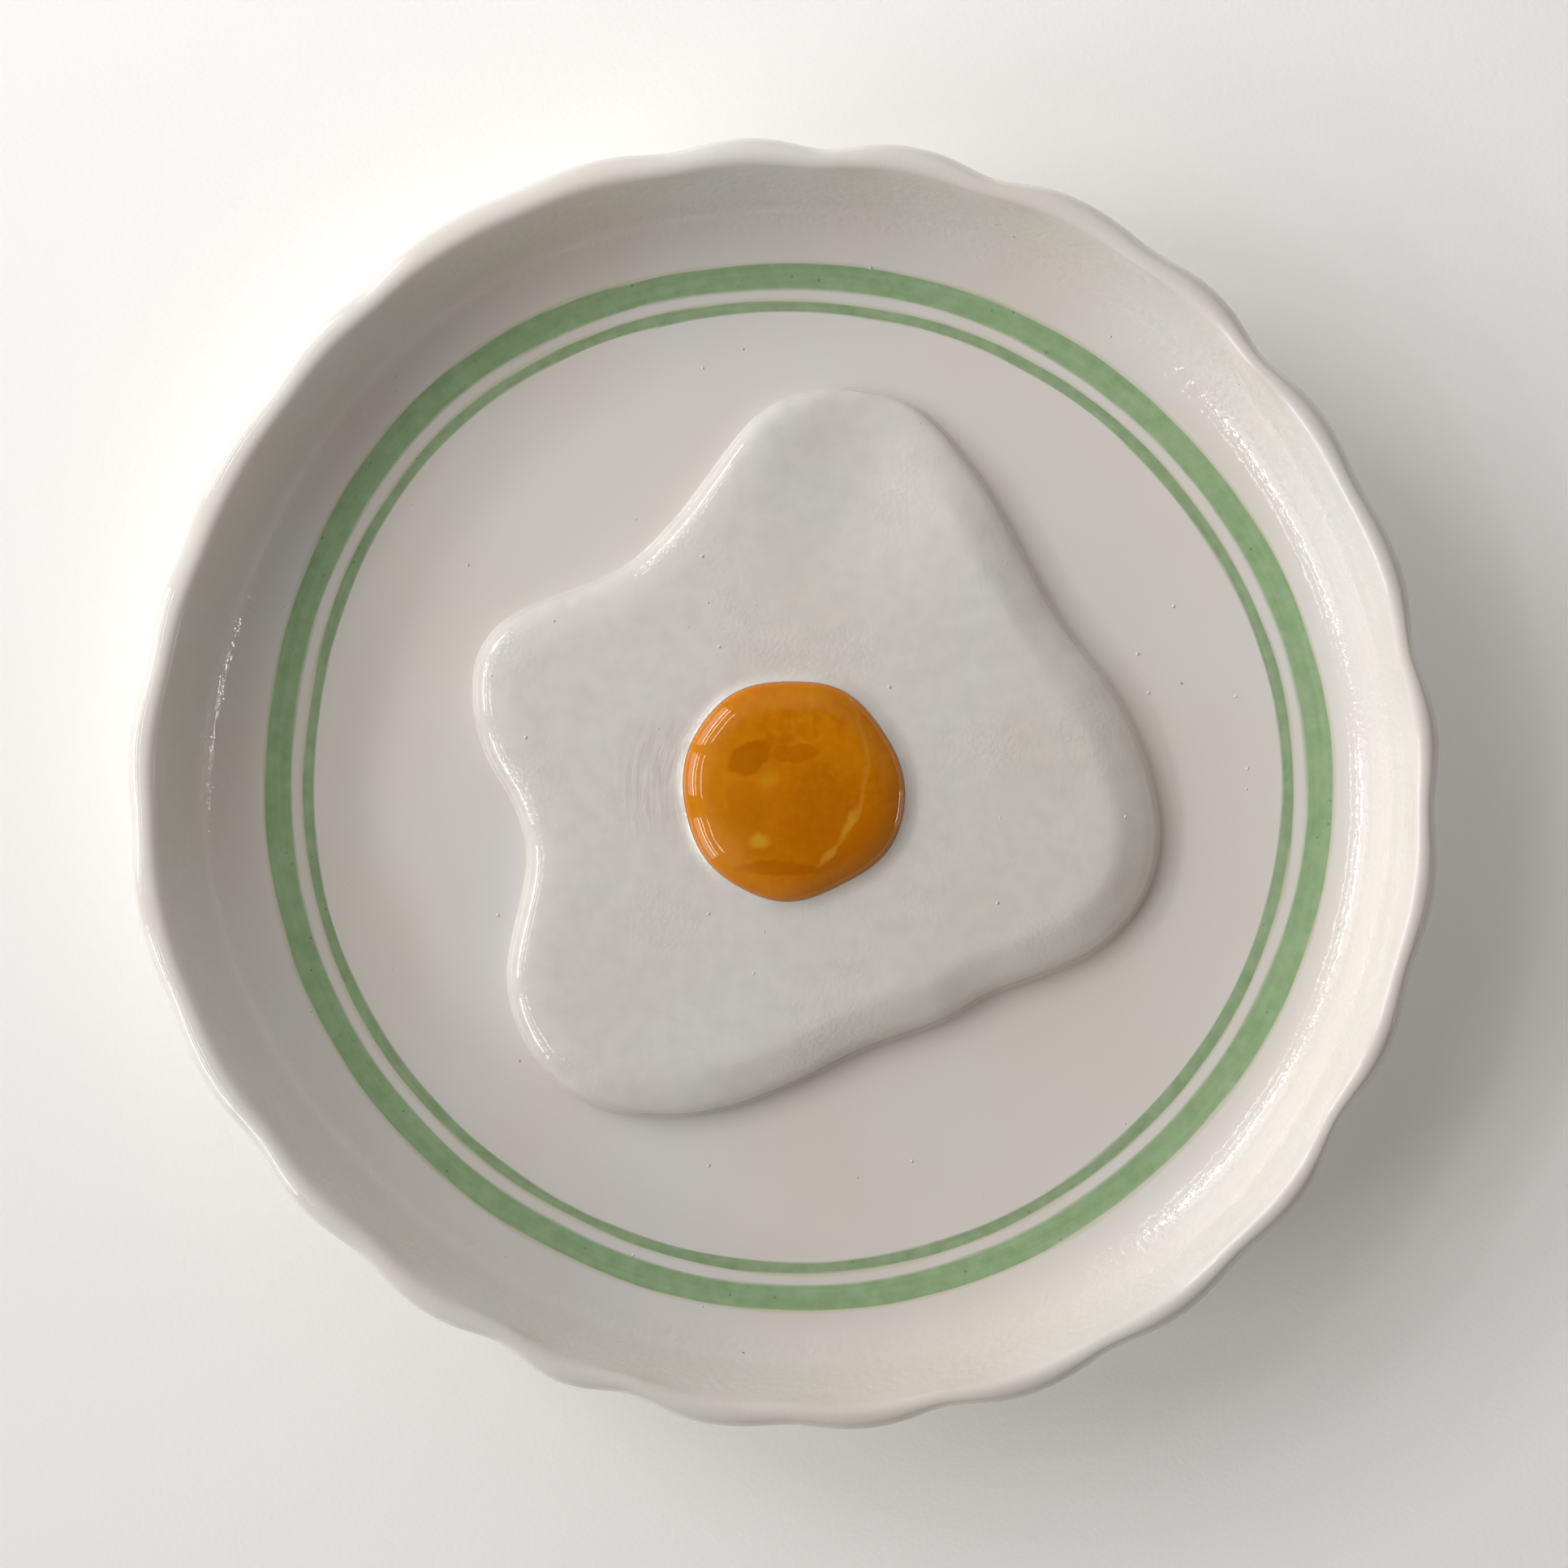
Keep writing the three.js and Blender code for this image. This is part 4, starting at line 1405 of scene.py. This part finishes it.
    def build(self) -> Piece:
        """Make and dress the plate.

        Returns:
            The finished piece.
        """
        section, bare = self.section()
        angles = full_turn(self.sides)
        ring = np.column_stack([np.cos(angles), np.sin(angles), np.zeros(self.sides)]) * self.lip_radius
        path = line_of_points(
            "plate_path",
            ring,
            True,
            {
                "turn": angles,
                "pinch": self.pinch_depths(angles) * MM,
                "wobble": sum(wave.at(angles) for wave in self.rim_waves) * MM,
                "band_wobble": sum(wave.at(angles) for wave in self.band_waves),
            },
        )
        profile = line_of_points(
            "plate_section",
            np.column_stack([section[:, 0], np.zeros(len(section)), section[:, 1]]),
            False,
            {
                "out": section[:, 0] * MM,
                "up": section[:, 1] * MM,
                "pinch_share": self.pinch_shares(section),
                "rim_share": smoothstep(section[:, 0], self.rim_starts, self.rim_full),
                "lean_share": self.lean_shares(section),
                "paint_radius": self.paint_radii(section),
                "bare": bare,
            },
        )
        modifier = path.modifiers.new("throw", "NODES")
        modifier.node_group = self.tree()
        set_modifier_inputs(
            modifier,
            {
                "Section": profile,
                "Oval Part": self.oval_part,
                "Oval Axis": math.radians(self.oval_axis_deg),
                "Floor Shift": [v * MM for v in (*self.floor_shift, 0.0)],
                "Lean": self.lean * MM,
                "Lean Axis": math.radians(self.lean_axis_deg),
                "Pinch Dip": self.pinch_dip,
                "Hand Wave": 1 / (self.hand_wave * MM),
                "Hand Wave Height": self.hand_wave_height * MM,
                "Hand Wave Level": self.hand_wave_level,
                "Glaze": self.glaze.build(),
                "Clay": self.clay.build(),
            },
        )
        piece = bake(path, "pinched_plate")
        bpy.data.objects.remove(profile)
        self.close_poles(piece)
        return piece

    def close_poles(self, piece: Piece) -> None:
        """Fill the two small holes at the axis and turn every face outwards."""
        work = bmesh.new()
        work.from_mesh(piece.data)
        paint = work.verts.layers.float.get("paint_radius")
        for loop in self.open_loops(work):
            hub = work.verts.new(sum((v.co for v in loop), Vector()) / len(loop))
            hub[paint] = loop[0][paint]
            for a, b in zip(loop, loop[1:] + loop[:1]):
                work.faces.new((hub, a, b)).smooth = True
        bmesh.ops.recalc_face_normals(work, faces=work.faces)
        work.to_mesh(piece.data)
        work.free()

    @staticmethod
    def open_loops(work: bmesh.types.BMesh) -> list[list[bmesh.types.BMVert]]:
        """List the boundary loops of a mesh, each as its vertices in order."""
        left = dict.fromkeys(edge for edge in work.edges if edge.is_boundary)
        loops = []
        while left:
            edge = next(iter(left))
            del left[edge]
            start, here = edge.verts
            loop = [start, here]
            while here is not start:
                edge = next(e for e in here.link_edges if e in left)
                del left[edge]
                here = edge.other_vert(here)
                if here is not start:
                    loop.append(here)
            loops.append(loop)
        return loops


# ---------------------------------------------------------------- egg


@dataclass
class Yolk:
    """The yolk: a thick disc with a soft round edge and a glaze ridge inside its rim."""

    radius: float = 18.1
    middle: tuple[float, float] = YOLK_MIDDLE
    white_top: float = 13.1
    rise: float = 3.2
    edge_width: float = 6.6
    edge_fullness: float = 2.0
    crown: float = 0.35
    seat_depth: float = 0.5
    waves: tuple[Wave, ...] = (
        Wave(2, 0.15, 40),
        Wave(3, 0.24, 1),
        Wave(4, 0.21, 95),
        Wave(5, 0.16, 82),
        Wave(7, 0.14, -89),
    )
    ridge_inset: float = 1.45
    ridge_width: float = 0.22
    ridge_depth: float = 0.035
    ridge_side_deg: float = 165.0
    hollow: float = 6.0
    hollow_depth: float = 0.07
    hollow_starts: float = 1.0
    hollow_full: float = 5.0
    hollow_seed: float = 3.7
    side_drop: float = 0.2
    side_inset: float = 0.3
    hub_share: float = 0.04
    edge_crowding: float = 2.2
    stations: int = 420
    edge_rows: int = 34
    top_rows: int = 26
    glaze: AmberGlaze = field(default_factory=AmberGlaze)

    @property
    def top(self) -> float:
        """Height of the yolk where its edge ends."""
        return self.white_top + self.rise

    def outline(self, angle: Any) -> Any:
        """Radius of the outline at an angle in radians."""
        return self.radius + sum(wave.at(angle) for wave in self.waves)

    def height(self, inset: np.ndarray, x: np.ndarray, y: np.ndarray) -> np.ndarray:
        """Height of the upper surface.

        Args:
            inset: Distance in from the outline, in mm.
            x: Place across from the yolk's middle, in mm.
            y: Place along from the yolk's middle, in mm.

        Returns:
            Heights in mm.
        """
        share = np.clip(inset / self.edge_width, 0, 1)
        z = self.white_top + self.rise * rounded_edge(share, self.edge_fullness)
        flat = self.radius - self.edge_width
        z += self.crown * np.clip(1 - (np.hypot(x, y) / flat) ** 2, 0, 1)
        side = 0.5 + 0.5 * np.cos(np.arctan2(y, x) - math.radians(self.ridge_side_deg))
        groove = np.exp(-(((inset - self.ridge_inset) / self.ridge_width) ** 2))
        z -= self.ridge_depth * groove * side
        inner = smoothstep(inset, self.hollow_starts, self.hollow_full)
        return z + inner * self.hollow_depth * ripple(x, y, self.hollow, self.hollow_seed)

    def build(self) -> Piece:
        """Make and dress the yolk.

        Returns:
            The finished piece.
        """
        angles = full_turn(self.stations)
        outline = self.outline(angles)
        shares = np.linspace(self.hub_share, 1, self.top_rows)[:, None]
        inner = shares * (outline - self.edge_width)
        crowded = np.linspace(0, 1, self.edge_rows + 1)[:-1] ** self.edge_crowding
        insets = (crowded[::-1] * self.edge_width)[:, None]
        top = np.vstack([inner, outline - insets])
        heights = self.height(outline - top, top * np.cos(angles), top * np.sin(angles))
        sunk = self.white_top - self.seat_depth
        level = np.ones_like(outline)
        radii = np.vstack([top, outline, outline - self.side_inset])
        z = np.vstack([heights, level * (self.white_top - self.side_drop), level * sunk])
        x, y = radii * np.cos(angles) + self.middle[0], radii * np.sin(angles) + self.middle[1]
        crown = (*self.middle, self.top + self.crown)
        piece = solid_of_rings("amber_yolk", crown, np.dstack([x, y, z]), (*self.middle, sunk))
        piece.data.materials.append(self.glaze.build())
        return piece


@dataclass
class EggWhite:
    """The egg white: a slab with an irregular outline, soft edges and a low collar round the yolk."""

    outline: tuple[tuple[float, float], ...] = (
        (11.2, 64.4), (4.5, 64.0), (-3.6, 60.8), (-18.4, 42.9), (-26.5, 35.5),
        (-46.3, 26.9), (-50.8, 21.6), (-51.7, 12.8), (-49.4, 4.4), (-44.8, -3.6),
        (-42.6, -12.1), (-46.0, -31.7), (-44.2, -40.4), (-38.8, -48.4), (-30.6, -53.5),
        (-18.4, -54.7), (-8.9, -53.1), (1.8, -49.0), (12.5, -43.6), (26.5, -38.4),
        (33.8, -34.1), (43.1, -30.7), (51.0, -26.8), (57.8, -19.4), (60.7, -9.9),
        (58.9, 2.6), (53.1, 15.2), (44.4, 27.1), (30.9, 51.1), (21.2, 61.4),
    )  # fmt: skip
    floor: float = PLATE_FLOOR
    base: float = 8.3
    thickness: float = 4.8
    edge_width: float = 8.0
    insets: tuple[float, ...] = (0, 0.08, 0.25, 0.7, 1.3, 2.0, 2.7, 3.3, 4.0, 5.4, 6.7, 8.0)
    full_rise: tuple[float, ...] = (0, 0.7, 1.3, 2.1, 2.75, 3.2, 3.48, 3.63, 3.74, 3.88, 3.96, 4.0)
    bevel_rise: tuple[float, ...] = (0, 0.6, 1.05, 1.65, 2.05, 2.37, 2.66, 2.9, 3.18, 3.66, 3.93, 4.0)
    widest_at: float = 0.8
    fillet: float = 0.7
    thin_lobe_deg: float = 78.0
    thin_lobe_half_width_deg: float = 16.0
    thin_lobe_loss: float = 2.9
    thin_lobe_starts: float = 26.0
    thin_lobe_full: float = 60.0
    bevel_turn_deg: float = -20.0
    collar_width: float = 2.2
    collar_rise: float = 0.5
    collar_fall: float = 2.5
    hollow: float = 17.0
    hollow_depth: float = 0.07
    hollow_seed: float = 1.3
    dent: float = 6.0
    dent_depth: float = 0.02
    dent_seed: float = 8.1
    seat_inset: float = 1.2
    seat_lip_inset: float = 0.25
    seat_lip_drop: float = 0.1
    sunk_depth: float = 0.5
    outline_blur: float = 2.0
    collar_crowding: float = 1.4
    edge_crowding: float = 2.0
    stations: int = 560
    top_rows: int = 50
    edge_rows: int = 30
    collar_rows: int = 12
    fillet_rows: int = 6
    glaze: WhiteGlaze = field(default_factory=WhiteGlaze)

    def edge(self) -> tuple[np.ndarray, np.ndarray]:
        """Points round the outline and the way in at each.

        Returns:
            Places in mm and unit vectors.
        """
        points = smooth_loop(closed_spline(self.outline, self.stations), self.outline_blur)
        ahead = np.roll(points, -1, 0) - np.roll(points, 1, 0)
        ahead /= np.hypot(*ahead.T)[:, None]
        return points, np.column_stack([-ahead[:, 1], ahead[:, 0]])

    def thickness_at(self, x: np.ndarray, y: np.ndarray, yolk: Yolk) -> np.ndarray:
        """Thickness of the slab, thinned towards the tip of its tall lobe.

        Args:
            x: Places in mm.
            y: Places in mm.
            yolk: The yolk that it surrounds.

        Returns:
            Thickness in mm.
        """
        dx, dy = x - yolk.middle[0], y - yolk.middle[1]
        off = turn_between(np.degrees(np.arctan2(dy, dx)), self.thin_lobe_deg)
        in_lobe = np.exp(-((off / self.thin_lobe_half_width_deg) ** 2))
        along = smoothstep(np.hypot(dx, dy), self.thin_lobe_starts, self.thin_lobe_full)
        return self.thickness - self.thin_lobe_loss * in_lobe * along

    def top_height(self, x: np.ndarray, y: np.ndarray, yolk: Yolk) -> np.ndarray:
        """Height of the flat part of the slab, with its finger hollows."""
        worked = self.hollow_depth * ripple(x, y, self.hollow, self.hollow_seed)
        worked += self.dent_depth * ripple(x, y, self.dent, self.dent_seed)
        return self.base + self.thickness_at(x, y, yolk) + worked

    def edge_rise(self, inset: float, bevelled: np.ndarray) -> np.ndarray:
        """Part of the slab's bulge that is reached at one distance in from the outline.

        Args:
            inset: Distance in, in mm.
            bevelled: How far each station's edge is a long bevel, not a full round, 0 to 1.

        Returns:
            Parts from 0 to 1, one for each station.
        """
        full, bevel = (
            PchipCurve(self.insets, heights).at(inset) / heights[-1]
            for heights in (self.full_rise, self.bevel_rise)
        )
        return full + (bevel - full) * bevelled

    def build(self, yolk: Yolk) -> Piece:
        """Make and dress the egg white.

        Args:
            yolk: The yolk that it surrounds.

        Returns:
            The finished piece.
        """
        points, inward = self.edge()
        angle = np.arctan2(points[:, 1] - yolk.middle[1], points[:, 0] - yolk.middle[0])
        unit = np.column_stack([np.cos(angle), np.sin(angle)])
        collar_at = yolk.outline(angle)
        rings: list[np.ndarray] = []

        def add_ring(place: np.ndarray, z: Any) -> None:
            rings.append(np.column_stack([place, np.broadcast_to(z, len(place))]))

        def about_yolk(out: float) -> np.ndarray:
            return np.asarray(yolk.middle) + unit * (collar_at + out)[:, None]

        seat = yolk.white_top - yolk.seat_depth
        add_ring(about_yolk(-self.seat_inset), seat)
        add_ring(about_yolk(-self.seat_lip_inset), yolk.white_top - self.seat_lip_drop)
        for share in np.linspace(0, 1, self.collar_rows) ** self.collar_crowding:
            place = about_yolk(share * self.collar_width)
            rise = self.collar_rise * (1 - share) ** self.collar_fall
            add_ring(place, self.top_height(*place.T, yolk) + rise)
        inner = rings[-1][:, :2]
        brim = points + inward * self.edge_width
        for share in np.linspace(0, 1, self.top_rows + 1)[1:-1]:
            place = inner + (brim - inner) * share
            add_ring(place, self.top_height(*place.T, yolk))
        widest = self.base + self.widest_at
        facing = np.degrees(np.arctan2(-inward[:, 1], -inward[:, 0]))
        bevelled = 0.5 + 0.5 * np.cos(np.radians(facing - self.bevel_turn_deg))
        for share in np.linspace(1, 0, self.edge_rows) ** self.edge_crowding:
            place = points + inward * self.edge_width * share
            bulge = self.top_height(*place.T, yolk) - widest
            add_ring(place, widest + bulge * self.edge_rise(share * self.edge_width, bevelled))
        drop = widest - self.floor
        for turn in np.linspace(0, math.pi / 2, self.fillet_rows)[1:]:
            out = self.fillet * (1 - math.cos(turn))
            add_ring(points - inward * out, widest - drop * math.sin(turn))
        sunk = self.floor - self.sunk_depth
        add_ring(points - inward * self.fillet, sunk)
        top, under = (*yolk.middle, seat), (*yolk.middle, sunk)
        piece = solid_of_rings("fried_egg_white", top, np.array(rings), under)
        piece.data.materials.append(self.glaze.build())
        return piece


@dataclass
class Pimples:
    """Dust that fell on the wet glaze: tiny glazed-over grains strewn on the plate and the egg."""

    SOCKETS: ClassVar[dict[str, str]] = {
        "Surface": "Geometry",
        "Density": "Float",
        "Smallest": "Float",
        "Largest": "Float",
        "Flatness": "Float",
        "Highest": "Float",
        "Seed": "Int",
        "Glaze": "Material",
    }

    per_square_cm: float = 0.26
    smallest: float = 0.12
    largest: float = 0.32
    flatness: float = 0.55
    highest: float = 20.0
    least_upward: float = 0.75
    segments: int = 8
    rings: int = 5
    seed: int = 11

    @cached_property
    def tree(self) -> Tree:
        """Geometry Nodes that strew flattened grains over the upward faces of a surface.

        Returns:
            The node group, with named inputs.
        """
        tree = bpy.data.node_groups.new("strew_grains", "GeometryNodeTree")
        open_group(tree, self.SOCKETS, "Grains")
        given = add_node(tree, "NodeGroupInput").outputs
        normal = add_node(tree, "GeometryNodeInputNormal")
        facing = add_node(tree, "ShaderNodeSeparateXYZ", {0: normal}).outputs["Z"]
        limit = {0: facing, 1: self.least_upward}
        upward = add_node(tree, "ShaderNodeMath", limit, operation="GREATER_THAN")
        position = add_node(tree, "GeometryNodeInputPosition")
        height = add_node(tree, "ShaderNodeSeparateXYZ", {0: position}).outputs["Z"]
        ceiling = {0: height, 1: given["Highest"]}
        below = add_node(tree, "ShaderNodeMath", ceiling, operation="LESS_THAN")
        chosen = add_node(tree, "ShaderNodeMath", {0: upward, 1: below}, operation="MULTIPLY")
        where = {"Mesh": given["Surface"], "Selection": chosen}
        draw = {"Density": given["Density"], "Seed": given["Seed"]}
        strewn = add_node(tree, "GeometryNodeDistributePointsOnFaces", {**where, **draw})
        ball = {"Segments": self.segments, "Rings": self.rings, "Radius": 1.0}
        grain = add_node(tree, "GeometryNodeMeshUVSphere", ball).outputs["Mesh"]
        sizes = {2: given["Smallest"], 3: given["Largest"], "Seed": given["Seed"]}
        size = add_node(tree, "FunctionNodeRandomValue", sizes, data_type="FLOAT").outputs[1]
        flattened = {0: size, 1: given["Flatness"]}
        low = add_node(tree, "ShaderNodeMath", flattened, operation="MULTIPLY")
        scale = add_node(tree, "ShaderNodeCombineXYZ", {"X": size, "Y": size, "Z": low})
        points, turned = strewn.outputs["Points"], strewn.outputs["Rotation"]
        placed = {"Points": points, "Instance": grain, "Rotation": turned, "Scale": scale}
        grains = add_node(tree, "GeometryNodeInstanceOnPoints", placed)
        smooth = add_node(tree, "GeometryNodeSetShadeSmooth", {"Geometry": grains})
        real = add_node(tree, "GeometryNodeRealizeInstances", {"Geometry": smooth})
        finished = add_node(tree, "GeometryNodeSetMaterial", {"Geometry": real, "Material": given["Glaze"]})
        add_node(tree, "NodeGroupOutput", {"Grains": finished})
        return tree

    def strew(self, surface: Piece, name: str, seed: int) -> Piece:
        """Strew grains on one piece, in that piece's own glaze.

        Args:
            surface: Piece that the grains fell on.
            name: Name of the grains' piece.
            seed: Seed of the random draw.

        Returns:
            The grains as one piece.
        """
        source = surface.copy()
        source.data = surface.data.copy()
        bpy.context.scene.collection.objects.link(source)
        modifier = source.modifiers.new("strew", "NODES")
        modifier.node_group = self.tree
        set_modifier_inputs(
            modifier,
            {
                "Density": self.per_square_cm * SQUARE_CM_IN_METRE,
                "Smallest": self.smallest * MM,
                "Largest": self.largest * MM,
                "Flatness": self.flatness,
                "Highest": self.highest * MM,
                "Seed": seed,
                "Glaze": surface.data.materials[0],
            },
        )
        return bake(source, name)


# ---------------------------------------------------------------- studio


@dataclass(frozen=True)
class SoftLight:
    """One rectangular light, placed by its direction and its distance in m from the plate."""

    name: str
    turn_deg: float
    lift_deg: float
    distance: float
    width: float
    height: float
    radiance: float
    in_reflections: bool = True
    colour: str = "#ffffff"

    def build(self) -> None:
        """Make the light, facing the plate."""
        data = bpy.data.lights.new(self.name, "AREA")
        data.shape = "RECTANGLE"
        data.size = self.width
        data.size_y = self.height
        data.energy = self.radiance * math.pi * self.width * self.height
        data.color = srgb(self.colour)[:3]
        light = bpy.data.objects.new(self.name, data)
        away = way_to(self.turn_deg, self.lift_deg)
        light.location = away * self.distance
        light.rotation_euler = away.to_track_quat("Z", "Y").to_euler()
        light.visible_glossy = self.in_reflections
        bpy.context.scene.collection.objects.link(light)


@dataclass(frozen=True)
class PaneRow:
    """One row of window panes, between two heights above the horizon."""

    name: str
    low_deg: float
    high_deg: float
    radiance: float


@dataclass
class Window:
    """A tall window of three columns of panes, as the plate sees it."""

    column_turns: tuple[float, ...] = (205.0, 174.0, 146.0)
    column_width_deg: float = 23.0
    distance: float = 3.0
    rows: tuple[PaneRow, ...] = (
        PaneRow("lower", 3.0, 25.0, 2.3),
        PaneRow("lower_head", 25.0, 30.0, 12.5),
        PaneRow("transom", 30.0, 38.0, 0.3),
        PaneRow("upper_sill", 38.0, 40.0, 10.0),
        PaneRow("upper", 40.0, 51.0, 0.15),
        PaneRow("upper_head", 51.0, 53.0, 7.5),
    )

    def build(self) -> None:
        """Hang every pane."""
        for row in self.rows:
            lift = (row.low_deg + row.high_deg) / 2
            height = 2 * self.distance * math.tan(math.radians(row.high_deg - row.low_deg) / 2)
            across = 2 * self.distance * math.tan(math.radians(self.column_width_deg) / 2)
            width = across * math.cos(math.radians(lift))
            for number, turn in enumerate(self.column_turns):
                name = f"{row.name}_pane_{number}"
                SoftLight(name, turn, lift, self.distance, width, height, row.radiance).build()


@dataclass(frozen=True)
class Glow:
    """Light that the room throws back from one side, fading out smoothly all round."""

    name: str
    turn_deg: float
    lift_deg: float
    spread_deg: float
    radiance: float

    def add_to(self, tree: Tree, direction: Any) -> Node:
        """Add the glow's nodes to the room.

        Args:
            tree: Tree of the world.
            direction: Output with the way that is looked.

        Returns:
            Node whose output is the radiance that way.
        """
        ends = {0: direction, 1: way_to(self.turn_deg, self.lift_deg)}
        near = add_node(tree, "ShaderNodeVectorMath", ends, operation="DOT_PRODUCT")
        return add_node(
            tree,
            "ShaderNodeMapRange",
            {
                "Value": near.outputs["Value"],
                "From Min": math.cos(math.radians(self.spread_deg)),
                "From Max": 1.0,
                "To Min": 0.0,
                "To Max": self.radiance,
            },
            interpolation_type="SMOOTHSTEP",
        )


@dataclass
class Studio:
    """Floor, window light, room light and the camera that looks straight down."""

    camera_at: tuple[float, float, float] = (58.5, -0.15, 548.8)
    looks_at: tuple[float, float, float] = (0.21, -0.15, 12.0)
    lens: float = 75.75
    sensor: float = 36.0
    clip_start: float = 0.01
    clip_end: float = 20.0
    floor_half: float = 3000.0
    room: float = 0.03
    room_colour: str = "#fff6e8"
    glows: tuple[Glow, ...] = (
        Glow("window_side", 140.0, 48.0, 55.0, 0.22),
        Glow("back", 80.0, 35.0, 65.0, 0.1),
        Glow("right", 0.0, 10.0, 60.0, 0.09),
        Glow("front", 290.0, 10.0, 60.0, 0.2),
        Glow("near_left", 235.0, 25.0, 55.0, 0.11),
    )
    dark_above: float = 0.97
    dark_from: float = 0.9
    window: Window = field(default_factory=Window)
    lamps: tuple[SoftLight, ...] = (
        SoftLight("far_window", -9.0, 11.0, 3.0, 1.05, 0.08, 24.0),
        SoftLight("near_sky", 135.0, 58.0, 0.35, 0.3, 0.2, 0.74, in_reflections=False),
        SoftLight("near_sky_low", 130.0, 40.0, 0.35, 0.3, 0.2, 0.52, in_reflections=False),
        SoftLight("sky_behind", 100.0, 28.0, 0.5, 0.5, 0.3, 1.0, in_reflections=False),
    )
    paper: StudioPaper = field(default_factory=StudioPaper)

    def build(self) -> None:
        """Set the whole stage."""
        self.build_floor()
        self.build_room()
        self.window.build()
        for lamp in self.lamps:
            lamp.build()
        self.build_camera()
        bpy.context.scene.view_settings.view_transform = "Standard"

    def build_floor(self) -> None:
        """Lay the paper that the plate stands on."""
        half = self.floor_half
        corners = np.array([[-half, -half, 0], [half, -half, 0], [half, half, 0], [-half, half, 0]])
        floor = mesh_object("studio_floor", corners, [(0, 1, 2, 3)])
        floor.data.materials.append(self.paper.build())

    def build_room(self) -> None:
        """Fill the room with soft light from its sides, and keep it dark straight above."""
        world = bpy.data.worlds.new("room")
        world.use_nodes = True
        tree = world.node_tree
        tree.nodes.clear()
        direction = add_node(tree, "ShaderNodeTexCoord").outputs["Generated"]
        total = add_up(tree, [(glow.add_to(tree, direction), 1.0) for glow in self.glows])
        steep = add_node(tree, "ShaderNodeSeparateXYZ", {0: direction})
        open_sky = add_node(
            tree,
            "ShaderNodeMapRange",
            {
                "Value": steep.outputs["Z"],
                "From Min": self.dark_from,
                "From Max": self.dark_above,
                "To Min": 1.0,
                "To Max": 0.0,
            },
            interpolation_type="SMOOTHSTEP",
        )
        even = add_node(tree, "ShaderNodeMath", {0: total, 1: self.room}, operation="ADD")
        masked = add_node(tree, "ShaderNodeMath", {0: even, 1: open_sky}, operation="MULTIPLY")
        shone = {"Color": srgb(self.room_colour), "Strength": masked}
        glow = add_node(tree, "ShaderNodeBackground", shone)
        add_node(tree, "ShaderNodeOutputWorld", {"Surface": glow})
        bpy.context.scene.world = world

    def build_camera(self) -> None:
        """Look down on the plate with +Y at the top of the image."""
        data = bpy.data.cameras.new("camera")
        data.sensor_width = self.sensor
        data.sensor_height = self.sensor
        data.sensor_fit = "HORIZONTAL"
        data.lens = self.lens
        data.clip_start = self.clip_start
        data.clip_end = self.clip_end
        camera = bpy.data.objects.new("camera", data)
        place, target = Vector(self.camera_at) * MM, Vector(self.looks_at) * MM
        back = (place - target).normalized()
        right = Vector((0, 1, 0)).cross(back).normalized()
        up = back.cross(right)
        camera.matrix_world = Matrix.Translation(place) @ Matrix((right, up, back)).transposed().to_4x4()
        bpy.context.scene.collection.objects.link(camera)
        bpy.context.scene.camera = camera


# ---------------------------------------------------------------- the whole scene


def hand_over(piece: Piece, node: str | None = None) -> None:
    """Let a piece ride on the one body, hide the solid that it replaces and log its triangles.

    Args:
        piece: The finished piece.
        node: The solid that it replaces, if any.
    """
    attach(piece, BODY)
    if node:
        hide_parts(node)
    triangles = sum(len(face.vertices) - 2 for face in piece.data.polygons)
    LOG.info("%s: %d triangles", piece.name, triangles)


def main() -> None:
    """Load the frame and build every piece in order."""
    logging.basicConfig(level=logging.INFO, format="%(name)s: %(message)s")
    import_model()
    plate = Plate().build()
    hand_over(plate, "plate")
    yolk = Yolk()
    white = EggWhite().build(yolk)
    hand_over(white, "egg_white")
    hand_over(yolk.build(), "yolk")
    pimples = Pimples()
    hand_over(pimples.strew(plate, "plate_pimples", pimples.seed))
    hand_over(pimples.strew(white, "egg_white_pimples", pimples.seed + 1))
    Studio().build()


if __name__ == "__main__":
    main()
